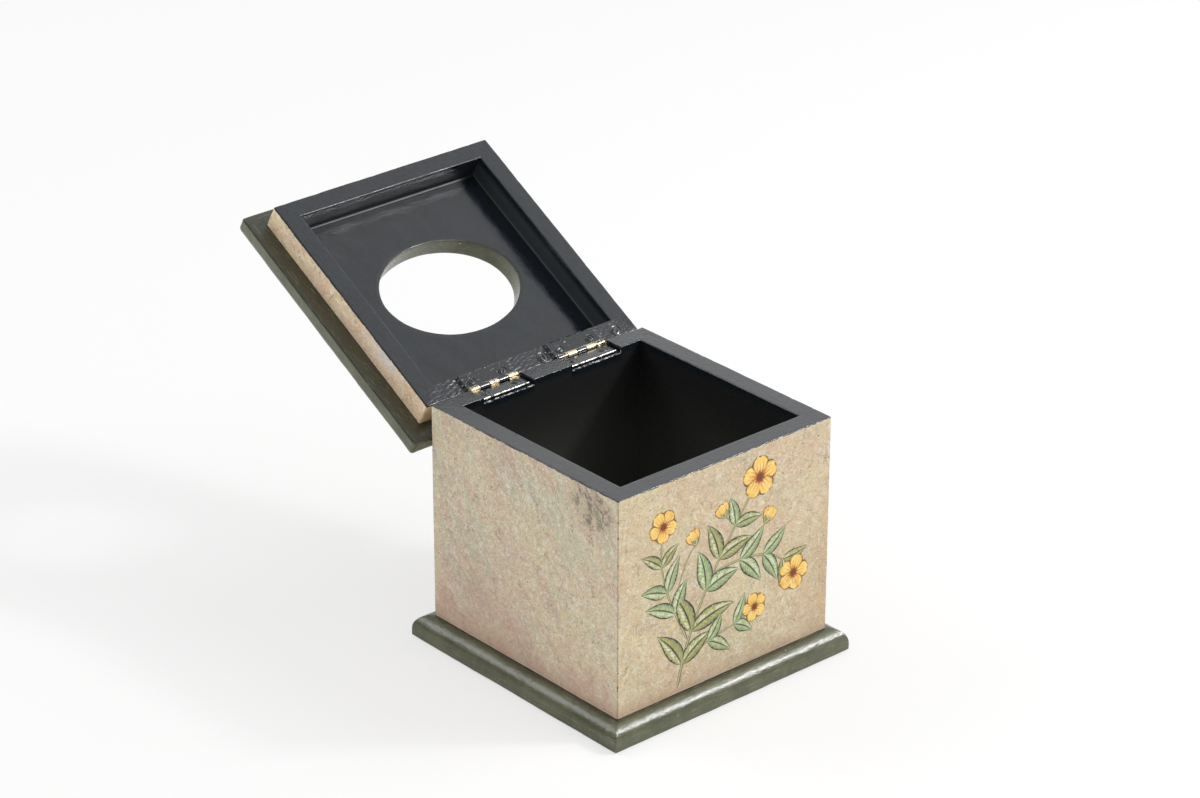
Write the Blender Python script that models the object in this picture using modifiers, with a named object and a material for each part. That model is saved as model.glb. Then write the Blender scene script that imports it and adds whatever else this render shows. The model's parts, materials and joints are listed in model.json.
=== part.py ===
"""Square wooden tissue box cover with a hinged lid, shown with the lid open on its stop.

Metres, +Z up. The front faces -Y, and the origin is the centre of the base plate's underside.
The lid is laid out closed about its hinge axis, and the empty that carries it is then turned
back until the panel's lower rear edge meets the back wall.
"""

import math
from typing import NamedTuple

import bmesh
import bpy
from mathutils import Matrix

# Body: four walls on a base plate
BODY_WIDTH = 0.140
BODY_DEPTH = 0.140
WALL_THICKNESS = 0.0115
WALL_HEIGHT = 0.118
WALL_CORNER_ROUND = 0.0008

BASE_THICKNESS = 0.0125
BASE_OVERHANG = 0.0088
BASE_TOP_ROUND = 0.0084
BASE_BOTTOM_ROUND = 0.0012

# Lid: four rails under a top panel with an oval hole
RAIL_WIDTH = 0.0110
FRONT_RAIL_WIDTH = 0.0103
RAIL_HEIGHT = 0.0130
PANEL_THICKNESS = 0.0105
PANEL_BACK_OVERHANG = 0.0107
PANEL_SIDE_OVERHANG = 0.0103
PANEL_FRONT_OVERHANG = 0.0082
PANEL_TOP_ROUND = 0.0050
PANEL_LOWER_ROUND = 0.0010
HOLE_WIDTH = 0.0825
HOLE_DEPTH = 0.0594
HOLE_BEHIND_MIDDLE = 0.0008

# Two butt hinges, each with five knuckles
HINGE_LENGTH = 0.0306
KNUCKLE_RADIUS = 0.0016
LEAF_THICKNESS = 0.0010
LEAF_REACH = 0.0103
FINGER_INSET = 0.0001
HINGE_PIN_RADIUS = 0.00075
HINGE_PIN_PROUD = 0.0003
AXIS_BEHIND_WALL = 0.0010

# Hinge screws, two to a leaf
HINGE_SCREW_FROM_END = 0.0053
HINGE_SCREW_FROM_AXIS = 0.0050
HINGE_SCREW_HEAD_RADIUS = 0.0022
HINGE_SCREW_SHANK_RADIUS = 0.0011
HINGE_SCREW_LENGTH = 0.0085
HINGE_SCREW_CROWN = 0.0004
HINGE_SCREW_SLOT = 0.0006

# Countersunk screws through the lid's back rail into its panel
RAIL_SCREW_FROM_BACK = 0.0040
RAIL_SCREW_HEAD_RADIUS = 0.0027
RAIL_SCREW_SHANK_RADIUS = 0.0014
RAIL_SCREW_BITE = 0.0050
RAIL_SCREW_CROWN = 0.0003
RAIL_SCREW_SLOT = 0.0008

# Panel pins in the glued joints, with their heads punched below the surface
PIN_RADIUS = 0.0007
PIN_HEAD_RADIUS = 0.0012
PIN_HEAD_HEIGHT = 0.0008
PIN_SET = 0.0006
PIN_POINT = 0.0020
CORNER_PIN_BITE = 0.0140
CORNER_PIN_ABOVE_FOOT = 0.030
CORNER_PIN_BELOW_RIM = 0.026
BASE_PIN_BITE = 0.0120
BASE_PIN_FROM_END = 0.032
RAIL_PIN_BITE = 0.0055
RAIL_PIN_FROM_END = 0.035

# Clearances
JOINT_GAP = 0.0003
SEAT_GAP = 0.0003
CLOSING_GAP = 0.0005
STOP_GAP = 0.0003
FASTENER_PLAY = 0.0003
HINGE_PIN_PLAY = 0.0001
KNUCKLE_GAP = 0.0003
MORTISE_PLAY = 0.0012
OVERRUN = 0.0020
MERGE_DISTANCE = 0.000001

# Counts and shares that carry no length
HINGE_PLACE_SHARE = 0.207
INNER_RAIL_SCREW_SHARE = 0.59
OUTER_RAIL_SCREW_SHARE = 0.515
KNUCKLE_COUNT = 5
ROUND_STEPS = 5
SMALL_ROUND_STEPS = 3
KNUCKLE_STEPS = 20
SCREW_STEPS = 16
PIN_STEPS = 10
HOLE_STEPS = 64
CROWN_RADIUS_SHARE = 0.62
CROWN_HEIGHT_SHARE = 0.72
SLOT_DEPTH_SHARE = 1.6
SHARP_ANGLE = math.radians(35)

# Where the pieces meet
RIM_Z = BASE_THICKNESS + JOINT_GAP + WALL_HEIGHT
BACK_Y = BODY_DEPTH / 2
AXIS_Y = BACK_Y + AXIS_BEHIND_WALL
AXIS_TO_RAILS = KNUCKLE_RADIUS + SEAT_GAP
AXIS_Z = RIM_Z + CLOSING_GAP - AXIS_TO_RAILS
AXIS_TO_PANEL = AXIS_TO_RAILS + RAIL_HEIGHT + JOINT_GAP
HINGE_X = BODY_WIDTH * HINGE_PLACE_SHARE

# Turns about X that point a fastener's head up, down, forward or back
HEAD_UP = 0.0
HEAD_DOWN = math.pi
HEAD_FORWARD = math.pi / 2
HEAD_BACK = -math.pi / 2


def clear_scene():
    for old in list(bpy.data.objects):
        bpy.data.objects.remove(old, do_unlink=True)


def new_collection(name):
    collection = bpy.data.collections.new(name)
    bpy.context.scene.collection.children.link(collection)
    return collection


def new_material(name, color, roughness, metallic=0.0):
    material = bpy.data.materials.new(name)
    material.use_nodes = True
    shader = material.node_tree.nodes["Principled BSDF"]
    shader.inputs["Base Color"].default_value = (*color, 1.0)
    shader.inputs["Roughness"].default_value = roughness
    shader.inputs["Metallic"].default_value = metallic
    material.diffuse_color = (*color, 1.0)
    return material


def open_angle():
    """The lid's turn from closed until the round of the panel's lower rear edge meets the wall.

    The round's centre lies at a fixed reach from the hinge axis. Turned back, it stops where it
    stands off the wall's outer face by its own radius and the stop's gap.
    """
    centre_y = PANEL_BACK_OVERHANG - AXIS_BEHIND_WALL - PANEL_LOWER_ROUND
    centre_z = AXIS_TO_PANEL + PANEL_LOWER_ROUND
    reach = math.hypot(centre_y, centre_z)
    stand_off = PANEL_LOWER_ROUND + STOP_GAP - AXIS_BEHIND_WALL
    return math.atan2(centre_z, centre_y) + math.acos(stand_off / reach)


class Fastener(NamedTuple):
    """Points of radius and height, down from the crown's middle, then from the head's rim."""

    crown: list
    body: list
    steps: int
    slot: float = 0.0


class Builder:
    """Adds named objects to the part's collection, and cutters to a hidden one."""

    def __init__(self):
        self.parts = new_collection("tissue_box_cover")
        self.cutters = new_collection("tissue_box_cover_cutters")
        self.cutters.hide_render = True

    def add(self, name, mesh, place, material=None, parent=None, turn=0.0):
        """A part where a material is given, and otherwise a cutter."""
        piece = bpy.data.objects.new(name, mesh)
        piece.location = place
        piece.rotation_euler = (turn, 0.0, 0.0)
        piece.parent = parent
        if material is None:
            self.cutters.objects.link(piece)
            piece.hide_render = True
            piece.display_type = "WIRE"
        else:
            self.parts.objects.link(piece)
            mesh.materials.append(material)
        return piece


def mesh_from(shape, name):
    """The finished mesh of a bmesh, shaded smooth across shallow angles."""
    bmesh.ops.recalc_face_normals(shape, faces=shape.faces)
    mesh = bpy.data.meshes.new(name)
    shape.to_mesh(mesh)
    shape.free()
    mesh.shade_smooth()
    mesh.set_sharp_from_angle(angle=SHARP_ANGLE)
    return mesh


def box_shape(size):
    shape = bmesh.new()
    bmesh.ops.create_cube(shape, size=1)
    bmesh.ops.scale(shape, vec=size, verts=shape.verts)
    return shape


def round_edges(shape, chosen, radius, steps):
    """Rounds the edges that the test picks, each a straight edge of a box."""
    edges = [edge for edge in shape.edges if chosen(edge)]
    bmesh.ops.bevel(shape, geom=edges, offset=radius, segments=steps, profile=0.5, affect="EDGES")


def is_upright(edge):
    first, second = (vert.co for vert in edge.verts)
    return math.isclose(first.x, second.x) and math.isclose(first.y, second.y)


def is_outer_upright(edge, outward):
    """An upright edge on the side of the board that faces outward, +1 for the back."""
    return is_upright(edge) and edge.verts[0].co.y * outward > 0


def is_above(edge):
    return all(vert.co.z > 0 for vert in edge.verts)


def is_bottom_edge(thickness):
    """A test for the edges that lie in a centred plate's lower face."""
    lowest = -thickness / 2

    def test(edge):
        return all(math.isclose(vert.co.z, lowest, rel_tol=1e-4) for vert in edge.verts)

    return test


def cylinder_mesh(name, radius, length, steps):
    """A cylinder along X about its own centre, with flats at its top and bottom."""
    shape = bmesh.new()
    bmesh.ops.create_cone(
        shape, cap_ends=True, segments=steps, radius1=radius, radius2=radius, depth=length
    )
    for angle, axis in ((math.pi / steps, "Z"), (math.pi / 2, "Y")):
        turn = Matrix.Rotation(angle, 3, axis)
        bmesh.ops.rotate(shape, cent=(0.0, 0.0, 0.0), matrix=turn, verts=shape.verts)
    return mesh_from(shape, name)


def turned_mesh(name, outline):
    """The outline's points, radius and height, joined from the top of the axis to its foot."""
    points = [(radius, 0.0, height) for radius, height in outline]
    edges = [(index, index + 1) for index in range(len(points) - 1)]
    mesh = bpy.data.meshes.new(name)
    mesh.from_pydata(points, edges, [])
    return mesh


def spin(piece, steps):
    screw = piece.modifiers.new("turned", "SCREW")
    screw.axis = "Z"
    screw.steps = steps
    screw.render_steps = steps
    screw.use_merge_vertices = True
    screw.merge_threshold = MERGE_DISTANCE


def cut(target, cutter):
    boolean = target.modifiers.new(cutter.name, "BOOLEAN")
    boolean.operation = "DIFFERENCE"
    boolean.object = cutter


def join(target, other):
    boolean = target.modifiers.new(other.name, "BOOLEAN")
    boolean.operation = "UNION"
    boolean.object = other


def panel_pin(length):
    """A panel pin with a flat head, punched below the surface."""
    neck = -PIN_SET - PIN_HEAD_HEIGHT
    crown = [(0.0, -PIN_SET)]
    body = [
        (PIN_HEAD_RADIUS, -PIN_SET),
        (PIN_HEAD_RADIUS, neck),
        (PIN_RADIUS, neck),
        (PIN_RADIUS, PIN_POINT - length),
        (0.0, -length),
    ]
    return Fastener(crown, body, PIN_STEPS)


def wood_screw(head_radius, shank_radius, length, crown_height, slot):
    """A raised countersunk screw, its head a square-angled cone that ends at the surface."""
    cone = head_radius - shank_radius
    crown = [
        (0.0, crown_height),
        (head_radius * CROWN_RADIUS_SHARE, crown_height * CROWN_HEIGHT_SHARE),
    ]
    body = [
        (head_radius, 0.0),
        (shank_radius, -cone),
        (shank_radius, shank_radius - length),
        (0.0, -length),
    ]
    return Fastener(crown, body, SCREW_STEPS, slot)


def hole_outline(body):
    """The outline below a head's rim, wider and deeper by the play, and open at the surface."""
    wider = [(radius + FASTENER_PLAY, height - FASTENER_PLAY) for radius, height in body[:-1]]
    mouth = wider[0][0]
    foot = body[-1][1] - FASTENER_PLAY
    return [(0.0, OVERRUN), (mouth, OVERRUN), *wider, (0.0, foot)]


def fasten(builder, name, kind, place, turn, boards, material, parent=None):
    """One fastener and the hole that it takes in each board that it passes into."""
    outline = kind.crown + kind.body
    piece = builder.add(name, turned_mesh(name, outline), place, material, parent, turn)
    spin(piece, kind.steps)
    hole_name = name + "_hole"
    hole_mesh = turned_mesh(hole_name, hole_outline(kind.body))
    hole = builder.add(hole_name, hole_mesh, place, None, parent, turn)
    spin(hole, kind.steps)
    for board in boards:
        cut(board, hole)
    if kind.slot:
        across = 2 * (kind.body[0][0] + OVERRUN)
        depth = kind.slot * SLOT_DEPTH_SHARE
        slot_name = name + "_slot"
        slot_mesh = mesh_from(box_shape((across, kind.slot, depth)), slot_name)
        cut(piece, builder.add(slot_name, slot_mesh, place, None, parent, turn))


def base_plate(builder, material):
    size = (BODY_WIDTH + 2 * BASE_OVERHANG, BODY_DEPTH + 2 * BASE_OVERHANG, BASE_THICKNESS)
    shape = box_shape(size)
    round_edges(shape, is_above, BASE_TOP_ROUND, ROUND_STEPS)
    round_edges(shape, is_bottom_edge(BASE_THICKNESS), BASE_BOTTOM_ROUND, SMALL_ROUND_STEPS)
    name = "base_plate"
    return builder.add(name, mesh_from(shape, name), (0.0, 0.0, BASE_THICKNESS / 2), material)


def cross_board(builder, name, size, place, outward, material, parent=None):
    """A front or back board of full width, with its two outer corners rounded."""
    shape = box_shape(size)
    round_edges(
        shape, lambda edge: is_outer_upright(edge, outward), WALL_CORNER_ROUND, SMALL_ROUND_STEPS
    )
    return builder.add(name, mesh_from(shape, name), place, material, parent)


def side_board(builder, name, size, place, material, parent=None):
    """A side board that fits between the front and the back one."""
    return builder.add(name, mesh_from(box_shape(size), name), place, material, parent)


def wall_set(builder, material):
    """Front and back walls of full width, with the side walls between them."""
    middle_z = BASE_THICKNESS + JOINT_GAP + WALL_HEIGHT / 2
    across = (BODY_WIDTH, WALL_THICKNESS, WALL_HEIGHT)
    side_length = BODY_DEPTH - 2 * (WALL_THICKNESS + JOINT_GAP)
    along = (WALL_THICKNESS, side_length, WALL_HEIGHT)
    wall_y = (BODY_DEPTH - WALL_THICKNESS) / 2
    wall_x = (BODY_WIDTH - WALL_THICKNESS) / 2
    return {
        "front": cross_board(
            builder, "front_wall", across, (0.0, -wall_y, middle_z), -1, material
        ),
        "back": cross_board(builder, "back_wall", across, (0.0, wall_y, middle_z), 1, material),
        "left": side_board(builder, "left_wall", along, (-wall_x, 0.0, middle_z), material),
        "right": side_board(builder, "right_wall", along, (wall_x, 0.0, middle_z), material),
    }


def rail_set(builder, axis, material):
    """The lid's rails, laid out like the walls, in places taken from the hinge axis."""
    middle_z = AXIS_TO_RAILS + RAIL_HEIGHT / 2
    front_size = (BODY_WIDTH, FRONT_RAIL_WIDTH, RAIL_HEIGHT)
    back_size = (BODY_WIDTH, RAIL_WIDTH, RAIL_HEIGHT)
    side_front = -BODY_DEPTH / 2 + FRONT_RAIL_WIDTH + JOINT_GAP
    side_back = BODY_DEPTH / 2 - RAIL_WIDTH - JOINT_GAP
    along = (RAIL_WIDTH, side_back - side_front, RAIL_HEIGHT)
    side_y = (side_front + side_back) / 2 - AXIS_Y
    rail_x = (BODY_WIDTH - RAIL_WIDTH) / 2
    front = (0.0, -(BODY_DEPTH - FRONT_RAIL_WIDTH) / 2 - AXIS_Y, middle_z)
    back = (0.0, (BODY_DEPTH - RAIL_WIDTH) / 2 - AXIS_Y, middle_z)
    left = (-rail_x, side_y, middle_z)
    right = (rail_x, side_y, middle_z)
    return {
        "front": cross_board(builder, "lid_front_rail", front_size, front, -1, material, axis),
        "back": cross_board(builder, "lid_back_rail", back_size, back, 1, material, axis),
        "left": side_board(builder, "lid_left_rail", along, left, material, axis),
        "right": side_board(builder, "lid_right_rail", along, right, material, axis),
    }


def lid_panel(builder, axis, material):
    """The lid's top panel, rounded most along its upper edges, with the oval hole cut through."""
    width = BODY_WIDTH + 2 * PANEL_SIDE_OVERHANG
    depth = BODY_DEPTH + PANEL_FRONT_OVERHANG + PANEL_BACK_OVERHANG
    size = (width, depth, PANEL_THICKNESS)
    shape = box_shape(size)
    round_edges(shape, is_above, PANEL_TOP_ROUND, ROUND_STEPS)
    round_edges(shape, is_bottom_edge(PANEL_THICKNESS), PANEL_LOWER_ROUND, SMALL_ROUND_STEPS)
    middle_y = (PANEL_BACK_OVERHANG - PANEL_FRONT_OVERHANG) / 2 - AXIS_Y
    middle_z = AXIS_TO_PANEL + PANEL_THICKNESS / 2
    name = "lid_top_panel"
    panel = builder.add(name, mesh_from(shape, name), (0.0, middle_y, middle_z), material, axis)
    oval = bmesh.new()
    bmesh.ops.create_cone(oval, cap_ends=True, segments=HOLE_STEPS, radius1=1, radius2=1, depth=1)
    oval_size = (HOLE_WIDTH / 2, HOLE_DEPTH / 2, PANEL_THICKNESS + 2 * OVERRUN)
    bmesh.ops.scale(oval, vec=oval_size, verts=oval.verts)
    hole_place = (0.0, HOLE_BEHIND_MIDDLE - AXIS_Y, middle_z)
    cut(panel, builder.add("oval_hole", mesh_from(oval, "oval_hole"), hole_place, None, axis))
    return panel


def knuckle_span(index):
    """The middle of a knuckle along the hinge, and its length."""
    pitch = (HINGE_LENGTH + KNUCKLE_GAP) / KNUCKLE_COUNT
    middle = (index + 0.5) * pitch - (HINGE_LENGTH + KNUCKLE_GAP) / 2
    return middle, pitch - KNUCKLE_GAP


def leaf_plan(owned):
    """The leaf seen from above: a plate whose near edge has a finger for each of its knuckles."""
    half = HINGE_LENGTH / 2
    notch = -KNUCKLE_RADIUS - SEAT_GAP
    points = [(-half, notch)]
    for index in owned:
        middle, length = knuckle_span(index)
        reach = length / 2 - FINGER_INSET
        low, high = middle - reach, middle + reach
        points += [(low, notch), (low, 0.0), (high, 0.0), (high, notch)]
    points += [(half, notch), (half, -LEAF_REACH), (-half, -LEAF_REACH)]
    return points


def plate_from_plan(name, plan, thickness):
    """A flat outline as a closed mesh, with its middle plane at z = 0."""
    curve = bpy.data.curves.new(name, "CURVE")
    curve.dimensions = "2D"
    curve.fill_mode = "BOTH"
    curve.extrude = thickness / 2
    spline = curve.splines.new("POLY")
    spline.points.add(len(plan) - 1)
    for point, (x, y) in zip(spline.points, plan):
        point.co = (x, y, 0.0, 1.0)
    spline.use_cyclic_u = True
    guide = bpy.data.objects.new(name + "_outline", curve)
    bpy.context.scene.collection.objects.link(guide)
    graph = bpy.context.evaluated_depsgraph_get()
    mesh = bpy.data.meshes.new_from_object(guide.evaluated_get(graph))
    bpy.data.objects.remove(guide, do_unlink=True)
    shape = bmesh.new()
    shape.from_mesh(mesh)
    bmesh.ops.remove_doubles(shape, verts=shape.verts, dist=MERGE_DISTANCE)
    bpy.data.meshes.remove(mesh)
    return mesh_from(shape, name)


def leaf_middle(up):
    """The height of a leaf's middle plane from the axis, +1 for the leaf on the lid."""
    return up * (KNUCKLE_RADIUS - LEAF_THICKNESS / 2)


def hinge_leaf(builder, name, owned, up, place, material, parent=None):
    """A plate with its knuckles joined on and the pin's bore through them."""
    plate_mesh = plate_from_plan(name, leaf_plan(owned), LEAF_THICKNESS)
    x, y, z = place
    leaf = builder.add(name, plate_mesh, (x, y, z + leaf_middle(up)), material, parent)
    for index in owned:
        middle, length = knuckle_span(index)
        knuckle_name = f"{name}_knuckle_{index + 1}"
        mesh = cylinder_mesh(knuckle_name, KNUCKLE_RADIUS, length, KNUCKLE_STEPS)
        join(leaf, builder.add(knuckle_name, mesh, (x + middle, y, z), None, parent))
    bore_name = name + "_bore"
    bore_radius = HINGE_PIN_RADIUS + HINGE_PIN_PLAY
    mesh = cylinder_mesh(bore_name, bore_radius, HINGE_LENGTH + 2 * OVERRUN, KNUCKLE_STEPS)
    cut(leaf, builder.add(bore_name, mesh, (x, y, z), None, parent))
    return leaf


def mortise(builder, name, middle_x, wall):
    """The pocket for a hinge, cut right through the thickness of the back wall's rim."""
    floor = AXIS_Z - KNUCKLE_RADIUS - SEAT_GAP
    top = RIM_Z + OVERRUN
    length = HINGE_LENGTH + 2 * MORTISE_PLAY
    mesh = mesh_from(box_shape((length, WALL_THICKNESS + 2 * OVERRUN, top - floor)), name)
    place = (middle_x, BACK_Y - WALL_THICKNESS / 2, (floor + top) / 2)
    cut(wall, builder.add(name, mesh, place))


def hinge(builder, side, middle_x, axis, back_wall, back_rail, metals):
    """One butt hinge: a leaf let into the wall's rim, a leaf under the lid's rail, and a pin."""
    brass, screw_metal = metals
    place = (middle_x, AXIS_Y, AXIS_Z)
    lid_place = (middle_x, 0.0, 0.0)
    mortise(builder, side + "_mortise", middle_x, back_wall)
    own = range(0, KNUCKLE_COUNT, 2)
    other = range(1, KNUCKLE_COUNT, 2)
    body_leaf = hinge_leaf(builder, side + "_hinge_body_leaf", own, -1, place, brass)
    lid_leaf = hinge_leaf(builder, side + "_hinge_lid_leaf", other, 1, lid_place, brass, axis)
    pin_name = side + "_hinge_pin"
    pin_length = HINGE_LENGTH + 2 * HINGE_PIN_PROUD
    pin_mesh = cylinder_mesh(pin_name, HINGE_PIN_RADIUS, pin_length, KNUCKLE_STEPS)
    builder.add(pin_name, pin_mesh, place, brass)

    screw = wood_screw(
        HINGE_SCREW_HEAD_RADIUS, HINGE_SCREW_SHANK_RADIUS, HINGE_SCREW_LENGTH,
        HINGE_SCREW_CROWN, HINGE_SCREW_SLOT,
    )
    inner_face = KNUCKLE_RADIUS - LEAF_THICKNESS
    for number, way in enumerate((-1, 1), start=1):
        x = middle_x + way * (HINGE_LENGTH / 2 - HINGE_SCREW_FROM_END)
        body_place = (x, AXIS_Y - HINGE_SCREW_FROM_AXIS, AXIS_Z - inner_face)
        fasten(
            builder, f"{side}_hinge_body_screw_{number}", screw, body_place, HEAD_UP,
            (body_leaf, back_wall), screw_metal,
        )
        rail_place = (x, -HINGE_SCREW_FROM_AXIS, inner_face)
        fasten(
            builder, f"{side}_hinge_lid_screw_{number}", screw, rail_place, HEAD_DOWN,
            (lid_leaf, back_rail), screw_metal, axis,
        )


def corner_pins(builder, walls, material):
    """Two pins at each corner, through the front or back wall into the end of a side wall."""
    pin = panel_pin(WALL_THICKNESS + JOINT_GAP + CORNER_PIN_BITE)
    pin_x = (BODY_WIDTH - WALL_THICKNESS) / 2
    heights = (BASE_THICKNESS + JOINT_GAP + CORNER_PIN_ABOVE_FOOT, RIM_Z - CORNER_PIN_BELOW_RIM)
    for end, face_y, turn in (("front", -BACK_Y, HEAD_FORWARD), ("back", BACK_Y, HEAD_BACK)):
        for side, x in (("left", -pin_x), ("right", pin_x)):
            for number, height in enumerate(heights, start=1):
                fasten(
                    builder, f"{end}_{side}_corner_pin_{number}", pin,
                    (x, face_y, height), turn, (walls[end], walls[side]), material,
                )


def base_pins(builder, base, walls, material):
    """Two pins up through the base plate into each wall."""
    pin = panel_pin(BASE_THICKNESS + JOINT_GAP + BASE_PIN_BITE)
    pin_x = (BODY_WIDTH - WALL_THICKNESS) / 2
    pin_y = (BODY_DEPTH - WALL_THICKNESS) / 2
    for number, way in enumerate((-1, 1), start=1):
        across = way * (BODY_WIDTH / 2 - BASE_PIN_FROM_END)
        along = way * (BODY_DEPTH / 2 - BASE_PIN_FROM_END)
        places = {
            "front": (across, -pin_y),
            "back": (across, pin_y),
            "left": (-pin_x, along),
            "right": (pin_x, along),
        }
        for side, (x, y) in places.items():
            fasten(
                builder, f"base_{side}_pin_{number}", pin, (x, y, 0.0), HEAD_DOWN,
                (base, walls[side]), material,
            )


def rail_pins(builder, panel, rails, axis, material):
    """Two pins through each of three rails into the panel; the back rail has screws."""
    pin = panel_pin(RAIL_HEIGHT + JOINT_GAP + RAIL_PIN_BITE)
    pin_x = (BODY_WIDTH - RAIL_WIDTH) / 2
    pin_y = (BODY_DEPTH - FRONT_RAIL_WIDTH) / 2
    for number, way in enumerate((-1, 1), start=1):
        across = way * (BODY_WIDTH / 2 - RAIL_PIN_FROM_END)
        along = way * (BODY_DEPTH / 2 - RAIL_PIN_FROM_END)
        places = {
            "front": (across, -pin_y),
            "left": (-pin_x, along),
            "right": (pin_x, along),
        }
        for side, (x, y) in places.items():
            fasten(
                builder, f"lid_{side}_pin_{number}", pin, (x, y - AXIS_Y, AXIS_TO_RAILS),
                HEAD_DOWN, (panel, rails[side]), material, axis,
            )


def rail_screws(builder, panel, back_rail, axis, material):
    """Two screws through the lid's back rail into its panel, either side of the right hinge."""
    length = RAIL_HEIGHT + JOINT_GAP + RAIL_SCREW_BITE
    screw = wood_screw(
        RAIL_SCREW_HEAD_RADIUS, RAIL_SCREW_SHANK_RADIUS, length,
        RAIL_SCREW_CROWN, RAIL_SCREW_SLOT,
    )
    y = BACK_Y - RAIL_SCREW_FROM_BACK - AXIS_Y
    near_end = HINGE_X - HINGE_LENGTH / 2
    far_end = HINGE_X + HINGE_LENGTH / 2
    places = (
        near_end * INNER_RAIL_SCREW_SHARE,
        far_end + (BODY_WIDTH / 2 - far_end) * OUTER_RAIL_SCREW_SHARE,
    )
    for number, x in enumerate(places, start=1):
        fasten(
            builder, f"lid_back_screw_{number}", screw, (x, y, AXIS_TO_RAILS), HEAD_DOWN,
            (panel, back_rail), material, axis,
        )


def lid_axis():
    """The empty on the hinge axis that carries the lid, turned to the open stop."""
    axis = bpy.data.objects.new("lid_hinge_axis", None)
    bpy.context.scene.collection.objects.link(axis)
    axis.location = (0.0, AXIS_Y, AXIS_Z)
    axis.rotation_euler = (-open_angle(), 0.0, 0.0)
    return axis


def main():
    clear_scene()
    builder = Builder()
    parchment = new_material("parchment_paint", (0.62, 0.50, 0.36), 0.62)
    olive = new_material("olive_varnish", (0.105, 0.125, 0.062), 0.30)
    brass = new_material("hinge_brass", (0.72, 0.56, 0.30), 0.32, 1.0)
    black_brass = new_material("painted_screw_brass", (0.045, 0.048, 0.052), 0.35, 0.6)
    steel = new_material("pin_steel", (0.45, 0.45, 0.46), 0.40, 1.0)

    base = base_plate(builder, olive)
    walls = wall_set(builder, parchment)
    axis = lid_axis()
    rails = rail_set(builder, axis, parchment)
    panel = lid_panel(builder, axis, olive)
    for side, way in (("left", -1), ("right", 1)):
        hinge(
            builder, side, way * HINGE_X, axis, walls["back"], rails["back"],
            (brass, black_brass),
        )
    corner_pins(builder, walls, steel)
    base_pins(builder, base, walls, steel)
    rail_pins(builder, panel, rails, axis, steel)
    rail_screws(builder, panel, rails["back"], axis, black_brass)


main()
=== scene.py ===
"""Painted tissue box cover with its lid open: worn paint, hinges, and a painted flower spray.

Metres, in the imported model's frame: +Z up, the decorated face towards -Y, the lid leaning back on
its stop. Lid pieces are laid out closed and then turned open about the hinge axis.
"""

import json
import math

import bpy
import numpy as np
from mathutils import Matrix, Vector

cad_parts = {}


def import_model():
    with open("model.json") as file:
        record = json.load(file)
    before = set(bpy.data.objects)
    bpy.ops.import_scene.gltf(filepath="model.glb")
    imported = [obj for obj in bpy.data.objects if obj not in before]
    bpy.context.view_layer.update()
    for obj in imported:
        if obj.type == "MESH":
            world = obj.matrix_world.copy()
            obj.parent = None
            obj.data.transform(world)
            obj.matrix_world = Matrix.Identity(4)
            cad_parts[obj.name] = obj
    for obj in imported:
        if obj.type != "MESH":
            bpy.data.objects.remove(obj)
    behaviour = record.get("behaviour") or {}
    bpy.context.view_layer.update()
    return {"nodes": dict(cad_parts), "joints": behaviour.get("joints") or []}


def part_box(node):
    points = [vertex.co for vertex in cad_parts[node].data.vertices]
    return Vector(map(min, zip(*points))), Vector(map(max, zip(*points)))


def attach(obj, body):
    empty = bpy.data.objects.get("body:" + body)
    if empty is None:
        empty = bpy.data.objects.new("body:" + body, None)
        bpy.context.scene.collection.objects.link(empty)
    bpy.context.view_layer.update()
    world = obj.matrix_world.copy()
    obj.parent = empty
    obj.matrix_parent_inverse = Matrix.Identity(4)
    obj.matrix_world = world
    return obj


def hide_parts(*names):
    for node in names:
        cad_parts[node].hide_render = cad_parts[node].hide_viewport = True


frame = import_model()

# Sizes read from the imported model
front_low, front_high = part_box("front_wall")
base_low, base_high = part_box("base_plate")
HALF_WIDTH = front_high.x
HALF_DEPTH = -front_low.y
WALL = front_high.y - front_low.y
FOOT_Z = base_high.z
RIM_Z = front_high.z
BASE_OVERHANG = base_high.x - HALF_WIDTH
AXIS_Y, AXIS_Z = frame["joints"][0]["pos_m"][1:]
OPEN_ANGLE = math.radians(150.8277)
HINGE_X, *RAIL_SCREW_X = (
    (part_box(name)[0].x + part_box(name)[1].x) / 2
    for name in ("right_hinge_pin", "lid_back_screw_1", "lid_back_screw_2")
)

# Sizes that follow the real boards
WALL_CORNER_ROUND = 0.0008
RIM_ROUND = 0.0006
BASE_TOP_ROUND = 0.0084
BASE_LOWER_ROUND = 0.0012
BASE_CORNER_ROUND = 0.0009
PANEL_CORNER_ROUND = 0.0018
LEAST_CORNER = 0.0005
RAIL_WIDTH = 0.0110
FRONT_RAIL_WIDTH = 0.0103
RAIL_HEIGHT = 0.0130
AXIS_TO_RAILS = 0.0019
JOINT_GAP = 0.0003
RAILS_Z = AXIS_Z + AXIS_TO_RAILS
PANEL_Z = RAILS_Z + RAIL_HEIGHT + JOINT_GAP
PANEL_THICKNESS = 0.0105
PANEL_BACK_OVERHANG = 0.0107
PANEL_SIDE_OVERHANG = 0.0103
PANEL_FRONT_OVERHANG = 0.0082
PANEL_TOP_ROUND = 0.0050
PANEL_LOWER_ROUND = 0.0010
HOLE_WIDTH = 0.0825
HOLE_DEPTH = 0.0594
HOLE_BEHIND_MIDDLE = 0.0008
HOLE_ROUND = 0.0006
COVE = 0.0012

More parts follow.
